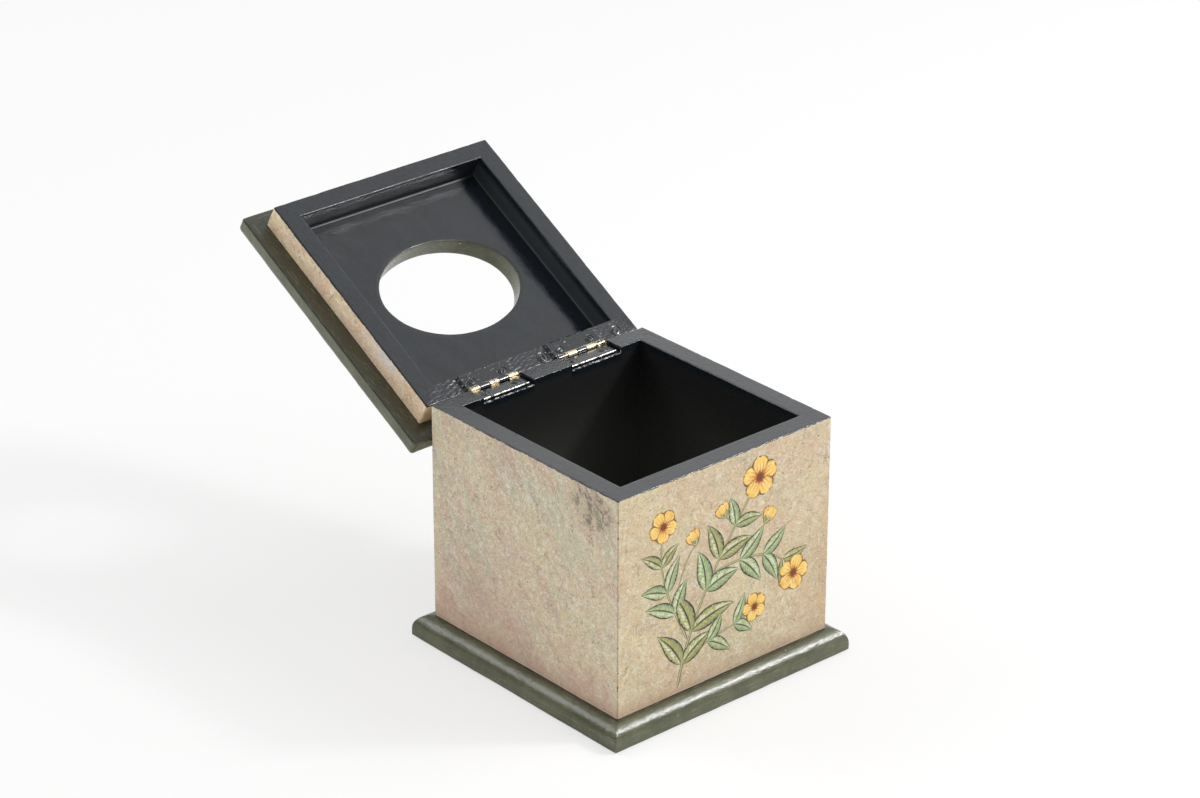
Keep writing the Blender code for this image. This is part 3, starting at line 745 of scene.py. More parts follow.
def hinge_leaf(node, middle_x, owned, up, wear, finish, body):
    """A plate, and for each knuckle a strip that runs from it round the pin."""
    shell = Shell()
    near_end = LEAF_ROUND * (1 - np.cos(quarter(LEAF_ROUND_ROWS)))
    wide = LEAF_REACH - LEAF_NOTCH
    between_ends = np.linspace(LEAF_ROUND, wide - LEAF_ROUND, LEAF_PLATE_ROWS)[1:-1]
    plate_y = np.concatenate([near_end, between_ends, wide - near_end[::-1]])
    plate_y = plate_y + AXIS_Y - LEAF_REACH
    ends = np.minimum(plate_y - plate_y[0], plate_y[-1] - plate_y)
    fall = LEAF_ROUND - np.clip(ends, 0, LEAF_ROUND)
    ease = up * (LEAF_ROUND - np.sqrt(LEAF_ROUND ** 2 - fall ** 2))
    outer_z, inner_z = up * KNUCKLE_RADIUS, up * (KNUCKLE_RADIUS - LEAF_THICKNESS)
    outer = together(plate_y, AXIS_Z + outer_z - ease)
    inner = together(plate_y, AXIS_Z + inner_z + ease)
    half = HINGE_LENGTH / 2
    strip(shell, outer, inner, middle_x - half, middle_x + half, 0.0)
    roll = around(np.linspace(-math.pi / 2, KNUCKLE_TURN, KNUCKLE_ROWS)) * (1, -up)
    axis = np.array((AXIS_Y, AXIS_Z))
    outer = axis + np.concatenate([together(KNUCKLE_RUN, outer_z), roll * KNUCKLE_RADIUS])
    inner = axis + np.concatenate([together(KNUCKLE_RUN, inner_z), roll * KNUCKLE_BORE])
    pitch = (HINGE_LENGTH + KNUCKLE_GAP) / KNUCKLE_COUNT
    for index, worn in zip(owned, wear):
        low = middle_x + index * pitch - half
        strip(shell, outer, inner, low, low + pitch - KNUCKLE_GAP, worn)
    shell_piece("painted_", node, shell, finish, body)


def screw(node, size, place, up, slot_angle, finish, body):
    """A domed screw turned about an upright axis, in a ring of paint pushed up round it.

    Its outline runs from the crown's middle to its point, and a slot is sunk in the crown. The
    mark kept is each point's share of the widest radius, and how deep it lies in the slot.
    """
    head, shank, length, dome_height, slot = size
    dome = (
        (0.0, 0.36), (0.18, 0.355), (0.36, 0.34), (0.54, 0.29), (0.70, 0.21), (0.82, 0.09),
        (0.90, -0.04), (0.98, -0.03), (1.05, 0.08), (1.12, 0.18), (1.20, 0.19), (1.28, 0.11),
        (1.36, -0.02), (1.40, -0.14),
    )
    neck = head * 0.9
    body_line = [
        (neck, -SCREW_SINK), (shank, -SCREW_SINK - neck + shank), (shank, shank - length),
        (0.0, -length),
    ]
    radius, height = np.concatenate([np.array(dome) * (head, dome_height), body_line]).T
    turn = around(np.linspace(0, 2 * math.pi, SCREW_STEPS, endpoint=False))
    x, y = np.moveaxis(radius[:, None, None] * turn, -1, 0)
    above = (height > 0)[:, None]
    across = np.abs(x * math.sin(slot_angle) - y * math.cos(slot_angle))
    crown = above * (1 - smooth_step(radius, slot * 1.8, slot * 2.6))[:, None]
    cut = crown * (1 - smooth_step(across, slot * 0.45, slot * 0.95))
    z = up * (height[:, None] - cut * slot * 0.5)
    points = together(x, y, z) + place
    uneven = brushed(points, 1.0, SCREW_LUMPS) * above
    points = points + (points - place) * uneven[..., None]
    shell = Shell()
    mark = together((radius / radius.max())[:, None], cut, 0.0)
    shell.patch(points, ring_columns=True, place=mark)
    shell_piece("painted_", node, shell, finish, body)


def hinge_pin(node, middle_x, finish):
    """A plain pin with rounded ends, turned about the hinge axis."""
    half = HINGE_LENGTH / 2 + PIN_PROUD
    inset, drop = quarter_rows(PIN_BEVEL, SECTION_ROUND_ROWS)
    end_radius, end_x = PIN_RADIUS - inset, half - drop
    radius = np.concatenate([[0], end_radius, end_radius[::-1], [0]])[:, None, None]
    along = np.concatenate([[half], end_x, -end_x[::-1], [-half]])[:, None]
    turn = around(np.linspace(0, 2 * math.pi, PIN_STEPS, endpoint=False))
    y, z = np.moveaxis((AXIS_Y, AXIS_Z) + radius * turn, -1, 0)
    shell = Shell()
    shell.patch(together(middle_x + along, y, z), ring_columns=True, place=(0.8, 0.0, 0.0))
    shell_piece("turned_", node, shell, finish, "box")


def hinge_set(brass, screw_paint):
    """Both hinges and their painted-over screws; wear is how bare each knuckle's brass is."""
    leaves = (
        ("left", "body", (0.62, 0.66, 0.78)), ("left", "lid", (0.05, 0.08)),
        ("right", "body", (0.44, 0.05, 0.42)), ("right", "lid", (0.86, 0.90)),
    )
    for side, leaf, wear in leaves:
        way = -1 if side == "left" else 1
        up, body = (1, "lid") if leaf == "lid" else (-1, "box")
        middle = way * HINGE_X
        owned = range(leaf == "lid", KNUCKLE_COUNT, 2)
        hinge_leaf(f"{side}_hinge_{leaf}_leaf", middle, owned, up, wear, brass, body)
        for number, end in enumerate((-1, 1), start=1):
            place = (
                middle + end * (HINGE_LENGTH / 2 - SCREW_FROM_END),
                AXIS_Y - SCREW_FROM_AXIS,
                AXIS_Z + up * (KNUCKLE_RADIUS - LEAF_THICKNESS),
            )
            node = f"{side}_hinge_{leaf}_screw_{number}"
            screw(node, HINGE_SCREW, place, -up, 0.6 + number * 1.3 + way, screw_paint, body)
        if leaf == "lid":
            hinge_pin(side + "_hinge_pin", middle, brass)
    for number, x in enumerate(RAIL_SCREW_X, start=1):
        place = (x, HALF_DEPTH - RAIL_SCREW_FROM_BACK, RAILS_Z)
        node = f"lid_back_screw_{number}"
        screw(node, RAIL_SCREW, place, -1, 0.4 + number, screw_paint, "lid")


# The painted flower spray on the front face, in millimetres from the middle of the wall's foot

def curve(points, count):
    """A curve inside its control points' hull, at even parameters."""
    share = np.linspace(0, 1, count)[:, None]
    points = np.array(points, float)[:, None]
    while len(points) > 1:
        points = points[:-1] * (1 - share) + points[1:] * share
    return points[0] * MILLIMETRE


def brushed_shape(shell, line, half_width, layer, kind):
    """A flat film of paint: a closed loop carried along a line in the face.

    Across it runs from -1 to 1 on top and back underneath, and its thickness fades at both ends.
    It follows the front board's own relief.
    """
    along = np.gradient(line, axis=0)
    along /= np.maximum(np.linalg.norm(along, axis=1, keepdims=True), 1e-9)
    side = together(-along[:, 1], along[:, 0])
    under = np.linspace(1, -1, UNDER_ROWS)[1:-1]
    across = np.concatenate([np.linspace(-1, 1, FILM_ROWS), under])
    on_top = np.arange(len(across)) < FILM_ROWS
    flat = line[:, None] + side[:, None] * (half_width[:, None] * across)[..., None]
    face = together(flat[..., 0], -HALF_DEPTH, flat[..., 1] + FOOT_Z)
    share = np.linspace(0, 1, len(line))[:, None]
    film = np.minimum(1, np.minimum(share, 1 - share) * 12)
    lift = FILM_HIGH + LAYER_HIGH * layer + FILM_CROWN * (1 - np.abs(across) ** 4)
    out = np.where(on_top, lift, -FILM_SUNK) * film
    points = face - together(0.0, board_relief(face) + out, 0.0)
    brush = together(share, across, kind)
    shell.patch(points, ring_columns=True, stroke=brush, place=brush)


def stalk(shell, points, half_width, layer):
    """A stem along a curve, as many stations as half widths, and closed at both ends."""
    half_width = half_width * MILLIMETRE
    half_width[[0, -1]] = 0
    line = curve(points, len(half_width))
    brushed_shape(shell, line, half_width, layer, 0.5)
    return line


def leaf(shell, base, angle, length, width, bend, layer, kind):
    """An oval leaf: half width follows sin(pi * share ** 0.78) ** 0.9, widest below its middle."""
    way, side = around(angle), around(angle + math.pi / 2)
    base = np.array(base)
    middle = base + way * length * 0.5 + side * bend * length
    line = curve([base, middle, base + way * length], LEAF_STATIONS)
    share = np.linspace(0, 1, LEAF_STATIONS)
    oval = np.sin(math.pi * share ** 0.78).clip(0) ** 0.9 * (1 - 0.15 * share)
    brushed_shape(shell, line, width * MILLIMETRE / 2 * oval, layer, kind)


def petal(shell, centre, angle, length, width, layer, kind):
    """A round-ended petal: half width is the root of sin(pi * share ** 1.5), widest far out."""
    centre = np.array(centre)
    line = curve([centre, centre + around(angle) * length], PETAL_STATIONS)
    share = np.linspace(0, 1, PETAL_STATIONS)
    oval = np.sqrt(np.sin(math.pi * share ** 1.5).clip(0))
    brushed_shape(shell, line, width * MILLIMETRE / 2 * oval, layer, kind)


def flower_spray(leaf_paint, stem_paint, petal_paint, heart_paint):
    """Three arching stems with paired oval leaves, open five-petalled flowers, and buds."""
    stems = {
        "main": ([(-31, 3), (-24, 38), (-6, 64), (22, 101)], 0.95),
        "left": ([(-25, 28), (-34, 50), (-46, 64), (-41, 95)], 0.75),
        "right": ([(-9, 58), (12, 62), (36, 60), (46, 40)], 0.75),
        "low": ([(-29, 14), (-12, 26), (8, 22), (20, 30)], 0.65),
    }
    pairs = [
        ("main", 0.13, 25, 10.5, 0.2), ("main", 0.30, 27, 11.5, 0.3), ("main", 0.50, 24, 11, 0.7),
        ("main", 0.66, 22, 10, 0.35), ("main", 0.80, 18, 8, 0.6),
        ("left", 0.28, 20, 9, 0.8), ("left", 0.50, 19, 8.5, 0.9), ("left", 0.74, 16, 7, 0.25),
        ("right", 0.30, 21, 9.5, 0.85), ("right", 0.55, 20, 9, 0.95), ("right", 0.80, 16, 7, 0.3),
        ("low", 0.35, 17, 8, 0.9), ("low", 0.68, 16, 7.5, 0.8),
    ]
    flowers = [("main", 11.5, 0.3), ("left", 9.0, 0.9), ("right", 10.0, 0.0), ("low", 8.0, 0.6)]
    buds = [
        ((6, 80), (0, 86), (-4, 94), 0.40), ((-31, 58), (-19, 78), (-23, 86), 0.45),
        ((18, 61), (26, 74), (31, 82), 0.5),
    ]
    stalks, leaves, petals, hearts = Shell(), Shell(), Shell(), Shell()
    taper = np.linspace(1.0, 0.55, STEM_STATIONS)
    lines = {
        name: stalk(stalks, points, taper * width, 0) / MILLIMETRE
        for name, (points, width) in stems.items()
    }
    for order, (name, share, length, width, kind) in enumerate(pairs):
        line, index = lines[name], int(share * (STEM_STATIONS - 1))
        heading = line[index + 1] - line[index - 1]
        bearing = math.atan2(heading[1], heading[0])
        for way in (-1, 1):
            angle = bearing + way * (0.85 + 0.12 * math.sin(order * 2.1 + way))
            size = length * (1 + 0.08 * math.sin(order * 3.7 + way * 2))
            layer = 2 + order % 3 + (way > 0)
            leaf(leaves, line[index], angle, size, width, -0.12 * way, layer, kind + 0.05 * way)
    for name, size, turn in flowers:
        centre = lines[name][-1]
        for number in range(5):
            angle = turn + number * 2 * math.pi / 5
            layer = 5 + number % 2 + (number == 4)
            petal(petals, centre, angle, size, size * 0.95, layer, 0.3 + 0.12 * number)
        for number in range(9):
            angle = turn + number * 2 * math.pi / 9
            kind = 0.2 + 0.07 * number
            leaf(hearts, centre, angle, size * 0.36, size * 0.16, 0.0, 9 + number % 2, kind)
    for root, low, high, kind in buds:
        middle = ((root[0] + low[0]) / 2, low[1] - 2)
        stalk(stalks, [root, middle, low], np.full(BUD_STATIONS, 0.4), 1)
        angle = math.atan2(high[1] - low[1], high[0] - low[0])
        for spread in (-0.35, 0.35, 0.0):
            petal(petals, low, angle + spread, 9.5, 5.0, 5 + (spread == 0.0), kind)
        for spread in (-0.5, 0.5):
            leaf(leaves, low, angle + spread, 5.2, 2.4, 0.0, 8, 0.3)
    for name, shell, paint in (
        ("spray_stems", stalks, stem_paint), ("spray_leaves", leaves, leaf_paint),
        ("spray_petals", petals, petal_paint), ("spray_flower_hearts", hearts, heart_paint),
    ):
        piece(name, shell.mesh(name), paint, "box")


# Values and nodes that the finishes are made from

class Value:
    """A node's output; sums, products and the methods below add nodes that it feeds."""

    def __init__(self, socket):
        self.socket = socket

    def math(self, operation, other=0.0):
        return add_node("Math", {0: self, 1: other}, operation=operation)

    def __add__(self, other):
        return self.math("ADD", other)

    def __sub__(self, other):
        return self.math("SUBTRACT", other)

    def __rsub__(self, other):
        return add_node("Math", {0: other, 1: self}, operation="SUBTRACT")

    def __mul__(self, other):
        return self.math("MULTIPLY", other)

    def __abs__(self):
        return self.math("ABSOLUTE")

    def above(self, limit):
        return self.math("GREATER_THAN", limit)

    def below(self, limit):
        return self.math("LESS_THAN", limit)

    def parts(self):
        return add_node("SeparateXYZ", {0: self}, (0, 1, 2))

    def stretch(self, x, y, z):
        return add_node("VectorMath", {0: self, 1: (x, y, z)}, operation="MULTIPLY")

    def noise(self, scale, detail=2.0, roughness=0.5, distortion=0.0, output="Fac"):
        inputs = {
            "Vector": self, "Scale": scale, "Detail": detail, "Roughness": roughness,
            "Distortion": distortion,
        }
        return add_node("TexNoise", inputs, output)

    def ease(self, low, high, to_low=0.0, to_high=1.0):
        """One number up to low, another from high on, and an even curve between."""
        inputs = {
            "Value": self, "From Min": low, "From Max": high, "To Min": to_low, "To Max": to_high
        }
        return add_node("MapRange", inputs, interpolation_type="SMOOTHSTEP")

    def fall(self, low, high):
        """1 up to low, and 0 from high on."""
        return self.ease(low, high, 1.0, 0.0)

    def band(self, low, rise, drop, high):
        """Rises from low to rise, and falls from drop to high."""
        return self.ease(low, rise) * self.fall(drop, high)

    def ridge(self, width):
        """1 along the lines where a noise crosses its middle, and 0 away from them."""
        return abs(self - 0.5).fall(0.0, width)

    def bell(self, place, reach):
        """1 at a place, easing to 0 at the reach each way."""
        off = add_node("VectorMath", {0: self, 1: place}, operation="SUBTRACT")
        off = off.stretch(*(1 / way for way in reach))
        return add_node("VectorMath", {0: off}, "Value", operation="LENGTH").fall(0.0, 1.0)

    def specks(self, scale, low, high, part, rare):
        """Round specks in a few of the cells, chosen by a part of each cell's colour."""
        inputs = {"Vector": self, "Scale": scale}
        distance, color = add_node("TexVoronoi", inputs, ("Distance", "Color"))
        return distance.fall(low, high) * color.parts()[part].above(rare)


def feed(socket, value):
    """Links a value to a socket, or sets it there where it is plain."""
    if isinstance(value, Value):
        socket.id_data.links.new(value.socket, socket)
    else:
        socket.default_value = value


def add_node(kind, inputs, output=0, tree=None, **settings):
    """A shader node's output, or several, in the tree given or that of the values that feed it."""
    if tree is None:
        tree = next(value for value in inputs.values() if isinstance(value, Value)).socket.id_data
    made = tree.nodes.new("ShaderNode" + kind)
    for key, value in settings.items():
        setattr(made, key, value)
    for key, value in inputs.items():
        feed(made.inputs[key], value)
    if isinstance(output, tuple):
        return [Value(made.outputs[key]) for key in output]
    return Value(made.outputs[output])


def mix(share, first, second, blend="MIX"):
    """A colour between two, or the second laid on the first by a blend."""
    inputs = {0: share, 6: first, 7: second}
    return add_node("Mix", inputs, 2, data_type="RGBA", blend_type=blend)


def between(share, first, second):
    """A number between two."""
    return add_node("Mix", {0: share, 2: first, 3: second}, data_type="FLOAT")


def bump(height, distance, normal=None):
    """A normal pushed by a height, on top of another one where given."""
    inputs = {"Height": height, "Distance": distance}
    if normal is not None:
        inputs["Normal"] = normal
    return add_node("Bump", inputs)


def tone(red, green, blue):
    """A colour written as it shows on a screen, from 0 to 255, as the shader's linear values."""
    shown = np.array((red, green, blue)) / 255
    linear = np.where(shown <= 0.04045, shown / 12.92, ((shown + 0.055) / 1.055) ** 2.4)
    return (*linear.tolist(), 1.0)


def coats(color, *layers):
    """A colour under others, each laid on by its share."""
    for share, over in layers:
        color = mix(share, color, tone(*over))
    return color


class Finish:
    """A Principled material, fed by the vectors kept on its pieces."""

    def __init__(self, name):
        self.material = bpy.data.materials.new(name)
        self.material.use_nodes = True
        self.tree = self.material.node_tree

    def marks(self, *names):
        """The vectors kept on the pieces, by name."""
        return [
            add_node("Attribute", {}, "Vector", self.tree, attribute_name=name) for name in names
        ]

    def done(self, color, roughness, normal=None, metallic=0.0, specular=0.5):
        """The material, once its surface is fed."""
        values = {
            "Base Color": color, "Roughness": roughness, "Normal": normal or (0.0, 0.0, 0.0),
            "Metallic": metallic, "Specular IOR Level": specular,
        }
        for key, value in values.items():
            feed(self.tree.nodes["Principled BSDF"].inputs[key], value)
        return self.material


# Finishes

SLATE = tone(16, 24, 31)
SLATE_PALE = tone(27, 35, 42)
SLATE_MIDDLE = 0.95
# Painted light: the left face is tinted paler and cooler and the other faces warmer, for the way
# the light falls on each side
LEFT_FACE_PAINTED_LIGHT = (1.08, 1.12, 1.13, 1.0)
OTHER_FACES_PAINTED_LIGHT = (0.95, 0.945, 0.87, 1.0)
# Painted light: the parchment on the lid's rails is made lighter and warmer than on the walls
RAIL_PAINTED_LIGHT = (1.28, 1.20, 1.14, 1.0)
SPRAY_ROUGHNESS = 0.48

# Marks with a place on the boards: the middle, and the reach each way
STAIN = ((-0.070, -0.051, 0.121), (0.010, 0.020, 0.017))
FLUSH = ((-0.070, 0.030, 0.036), (0.030, 0.060, 0.050))
RUBBED = ((-0.070, 0.032, 0.1345), (0.006, 0.020, 0.006))
WARM = ((0.075, -0.07, 0.050), (0.035, 0.010, 0.060))


def parchment(laid, stroke, place):
    """Mottled parchment paper under satin varnish: clouds, curls, fibres, cracks and stains.

    Gives its colour and the height of its tooth.
    """
    _, to_corner, above_foot = place.parts()
    x, _, z = laid.parts()
    left = x.below(TINY * 6 - HALF_WIDTH)
    much = between(left * z.below(RIM_Z), 0.55, 1.0)
    along, down, _ = stroke.parts()
    slant = add_node("CombineXYZ", {0: along + down, 1: along - down})
    cloud = laid.noise(26, 4, 0.55, 0.6)
    green = slant.stretch(14, 34, 1).noise(1.0, 6, 0.62, 0.9)
    rosy = slant.stretch(18, 44, 1).noise(1.3, 4, 0.6, 0.4)
    chalk = slant.stretch(55, 130, 1).noise(1.0, 5, 0.7, 0.6)
    pale = laid.noise(210, 6, 0.75, 0.8)
    cream = laid.noise(360, 3, 0.60, 1.2).ridge(0.055)
    fibre = laid.noise(400, 4, 0.66, 1.6).ridge(0.030)
    grain = laid.noise(900, 3, 0.75, 0.4)
    color = coats(
        mix(cloud.ease(0.36, 0.64), tone(230, 201, 166), tone(232, 212, 171)),
        (much * green.ease(0.48, 0.62, 0.0, 0.82), (206, 199, 168)),
        (much * rosy.ease(0.48, 0.64, 0.0, 0.60), (216, 174, 150)),
        (chalk.ease(0.54, 0.66, 0.0, 0.60), (246, 232, 208)),
        (pale.ease(0.50, 0.64, 0.0, 0.55), (248, 240, 226)),
        (pale.ease(0.34, 0.47, 0.30, 0.0), (198, 170, 138)),
        (cream * 0.60, (250, 242, 226)),
        (fibre * 0.50, (156, 124, 92)),
    )
    grey = add_node("CombineXYZ", {0: grain, 1: grain, 2: grain})
    color = mix(0.6, color, grey, "SOFT_LIGHT")
    # Painted light: each face's parchment is tinted for the light that falls on that side
    color = mix(1.0, color, mix(left, OTHER_FACES_PAINTED_LIGHT, LEFT_FACE_PAINTED_LIGHT), "MULTIPLY")
    sway = laid.noise(230.0, output="Color").stretch(0.010, 0.010, 0.010)
    bent = add_node("VectorMath", {0: laid, 1: sway}, operation="ADD")
    web = {"Vector": bent, "Scale": 150}
    crack = add_node("TexVoronoi", web, "Distance", feature="DISTANCE_TO_EDGE")
    lines = crack.fall(0.0, 0.046) * laid.noise(130, 3, 0.6).ease(0.53, 0.61)
    blot = laid.bell(*STAIN)
    marks = slant.stretch(130, 210, 1).noise(1.0, 5, 0.62, 1.0).ease(0.50, 0.58, 0.0, 1.6)
    foot = above_foot + rosy.ease(0.3, 0.7, -0.003, 0.003)
    low = above_foot.fall(0.002, 0.040) * rosy.ease(0.36, 0.62, 0.05, 0.40)
    edge = to_corner.fall(0.0002, 0.0009)
    tick = laid.stretch(140, 140, 420).noise(1.0, 3, 0.6).ease(0.60, 0.64)
    color = coats(
        color,
        (lines * 0.52, (122, 106, 84)),
        (laid.specks(130, 0.05, 0.08, 0, 0.94) * 0.8, (66, 60, 60)),
        (blot * 0.42, (152, 142, 122)),
        ((blot * marks).math("MINIMUM", 0.62), (106, 100, 86)),
        (laid.bell(*FLUSH) * cloud.ease(0.38, 0.60, 0.1, 0.45), (214, 172, 152)),
        (foot.ease(0.0, 0.012, 0.34, 0.0), (204, 158, 132)),
        (low * left, (214, 166, 150)),
        (laid.bell(*WARM) * 0.42, (200, 152, 110)),
        (above_foot.ease(0.0003, 0.0009, 0.5, 0.0), (228, 214, 196)),
        (edge * 0.5, (158, 134, 108)),
        (edge * tick, (58, 52, 48)),
    )
    return color, grain * 0.7 + cream * 0.6 - fibre * 0.35 - lines * 0.6


def slate(laid, stroke):
    """Slate-black paint: nearly flat in colour, with brush strokes along the board."""
    fine = stroke.stretch(90, 2600, 30).noise(1.0, 3, 0.6)
    broad = stroke.stretch(30, 700, 30).noise(1.0, 2, 0.5)
    blot = laid.noise(420, 3, 0.65)
    height = fine * 0.5 + broad * 0.5 + blot * 0.9
    return mix(blot.ease(0.35, 0.7), SLATE, SLATE_PALE), height - SLATE_MIDDLE


def pocket_painted_glints(laid):
    """Painted highlights: pale dashes along the hinge pockets' open edge in the back wall."""
    x, depth, height = laid.parts()
    lip = HALF_DEPTH - WALL + POCKET_BEAD_IN
    by_lip = depth.band(lip - 0.0005, lip - 0.0001, lip + 0.0001, lip + 0.0005)
    low = height.ease(POCKET_FLOOR_Z - POCKET_FADE, POCKET_FLOOR_Z - 0.0001)
    low = low * height.fall(POCKET_FLOOR_Z + 0.0010, RIM_Z) * by_lip
    low = low * abs(abs(x) - HINGE_X).below(HINGE_LENGTH / 2 + POCKET_PLAY)
    return laid.stretch(420, 0, 900).noise(1.0, 3, 0.65).ease(0.48, 0.56) * low


def board_finish():
    """Parchment outside and slate inside and over the rim, meeting in a slightly ragged edge."""
    finish = Finish("parchment_and_slate")
    laid, stroke, place = finish.marks("laid", "stroke", "place")
    x, depth, height = laid.parts()
    past_rim = place.parts()[0]
    lid = height.above((RIM_Z + RAILS_Z) / 2)
    drift = laid.noise(60, 2, 0.5)
    outside, outside_height = parchment(laid, stroke, place)
    rubbed = laid.bell(*RUBBED) * drift.ease(0.40, 0.60, 0.3, 1.4)
    fray = laid.noise(520, 4, 0.65).ease(0.3, 0.7, -0.00025, 0.00025)
    edge = past_rim + fray + drift.ease(0.3, 0.7, -0.0002, 0.0002)
    painted = edge.ease(0.00040, 0.00058)
    outside = coats(
        # painted light: the rails' parchment made lighter
        mix(lid, outside, RAIL_PAINTED_LIGHT, "MULTIPLY"),
        (lid * depth.ease(0.030, 0.062, 0.0, 0.14), (214, 164, 126)),
        (rubbed.math("MINIMUM", 0.85), (246, 240, 232)),
        # a pale line just under the slate border, partly paler paint and partly a painted highlight
        # below the rim's edge
        (painted * edge.fall(0.0007, 0.0014) * 0.5, (240, 220, 190)),
    )
    inside, inside_height = slate(laid, stroke)
    deep = past_rim.fall(-0.0165, -0.0120)
    # Painted light and shade on the slate inside: the walls' inner faces are lighter towards the
    # bottom, and in the lid's recess the front and back rails' inner faces are darker and the side
    # rails' lighter
    down = mix(height.ease(0.045, 0.125), tone(84, 84, 78), tone(28, 30, 29))
    sideways = abs(x).above(HALF_WIDTH - RAIL_WIDTH - COVE / 3)
    painted_recess_shading = mix(sideways, tone(18, 22, 26), tone(62, 66, 70))
    inside = mix(deep, inside, mix(lid, down, painted_recess_shading))
    chip = laid.noise(900, 3, 0.7).ease(0.66, 0.72) * abs(edge).fall(0.0004, 0.0010)
    color = coats(
        mix(painted, inside, outside),
        (chip * 0.7, (120, 92, 70)), (pocket_painted_glints(laid), (220, 220, 216)),
    )
    roughness = between(deep, 0.19, between(lid, 0.40, between(sideways, 0.42, 0.15)))
    normal = bump(inside_height * (1.0 - painted), 0.00014)
    normal = bump((outside_height - 0.3) * painted, 0.00020, normal)
    normal = bump(painted, 0.00010, normal)
    return finish.done(color, between(painted, roughness, 0.62), normal, specular=0.9)


def olive_finish():
    """Thick glossy olive varnish, bumpy and flecked, with painted shade, and slate where the plate
    is inside.
    """
    finish = Finish("olive_and_slate")
    laid, stroke, place = finish.marks("laid", "stroke", "place")
    border, shade, _ = place.parts()
    painted = border.ease(-0.0001, 0.0001)
    worn = laid.noise(300, 4, 0.7)
    streak = stroke.stretch(110, 1000, 30).noise(1.0, 4, 0.65)
    olive = coats(
        mix(laid.noise(60, 4, 0.6, 0.5).ease(0.35, 0.68), tone(76, 79, 53), tone(94, 97, 69)),
        (worn.ease(0.60, 0.75, 0.0, 0.5), (128, 131, 106)),
        (worn.ease(0.25, 0.38, 0.5, 0.0), (68, 71, 50)),
        # painted shade, by the walls on the base and under the panel's overhang
        (shade * 0.9, (50, 52, 38)),
        # pale flecks, partly dust and partly painted glints on the bumpy varnish
        (laid.specks(260, 0.07, 0.12, 1, 0.975) * 0.9, (226, 226, 212)),
    )
    inside, inside_height = slate(laid, stroke)
    rub = streak.ease(0.56, 0.68, 0.0, 0.5) * painted
    color = coats(mix(painted, inside, olive), (rub, (124, 128, 104)))
    height = laid.noise(300, 5, 0.68) + streak * 0.25 - 0.62
    normal = bump(inside_height * (1.0 - painted), 0.00006)
    normal = bump(height * painted, 0.00030, normal)
    roughness = between(painted, 0.13, worn.ease(0.3, 0.7, 0.07, 0.17))
    return finish.done(color, roughness, normal, specular=0.9)


def brass_finish():
    """Brass under glossy slate paint, bare where a knuckle is marked as worn, with a painted
    highlight along the body leaf's free edge.
    """
    finish = Finish("worn_black_brass")
    laid, place = finish.marks("laid", "place")
    wear = place.parts()[0]
    _, along, high = laid.parts()
    scuff = laid.noise(900, 4, 0.65).ease(0.3, 0.7, -0.35, 0.35)
    bare = (wear + scuff - 0.5).ease(-0.03, 0.05)
    # Painted highlight: a broken white line of bare metal along the body leaf's free edge
    free_edge = AXIS_Y - LEAF_REACH
    edge = along.fall(free_edge + 0.0001, free_edge + 0.0004) * high.below(AXIS_Z)
    edge = edge * laid.stretch(330, 0, 0).noise(1.0, 3, 0.6).ease(0.40, 0.50)
    bare = bare.math("MAXIMUM", edge)
    rub = laid.noise(500, 3, 0.6).ease(0.35, 0.7)
    metal = coats(mix(rub, tone(234, 214, 174), tone(246, 234, 206)), (edge, (248, 248, 246)))
    color = mix(bare, mix(wear.ease(0.0, 0.05), SLATE, tone(10, 12, 14)), metal)
    normal = bump(bare, -0.00006, bump(laid.noise(620, 3, 0.6), 0.00005))
    roughness = between(bare, wear.ease(0.0, 0.05, 0.20, 0.10), 0.38)
    return finish.done(color, roughness, normal, bare, specular=1.0)


def screw_finish():
    """Screw heads drowned in glossy slate paint, with painted shade in the slot and round the
    crown, and a few scratches to the brass.
    """
    finish = Finish("painted_over_screw")
    laid, place = finish.marks("laid", "place")
    share, cut, _ = place.parts()
    scratch = laid.noise(1500, 3, 0.7).ease(0.70, 0.73)
    # Painted shade: near black in the slot and in the groove round the crown
    painted_crease_shade = share.band(0.56, 0.62, 0.70, 0.76).math("MAXIMUM", cut.ease(0.3, 0.8))
    color = coats(
        mix(share.ease(0.66, 0.84), tone(44, 48, 52), tone(24, 30, 35)),
        (painted_crease_shade, (4, 5, 6)), (scratch, (206, 186, 148)),
    )
    normal = bump(laid.noise(900, 3, 0.6), 0.00014)
    return finish.done(color, 0.12, normal, scratch, specular=1.0)


def pin_finish():
    """Bright steel of the panel pins inside the joints."""
    finish = Finish("pin_steel")
    laid = add_node("TexCoord", {}, "Object", finish.tree)
    grain = laid.stretch(900, 900, 160).noise(1.0, 2)
    color = mix(grain, tone(150, 150, 152), tone(196, 196, 198))
    return finish.done(color, grain.ease(0.3, 0.7, 0.25, 0.4), metallic=1.0)


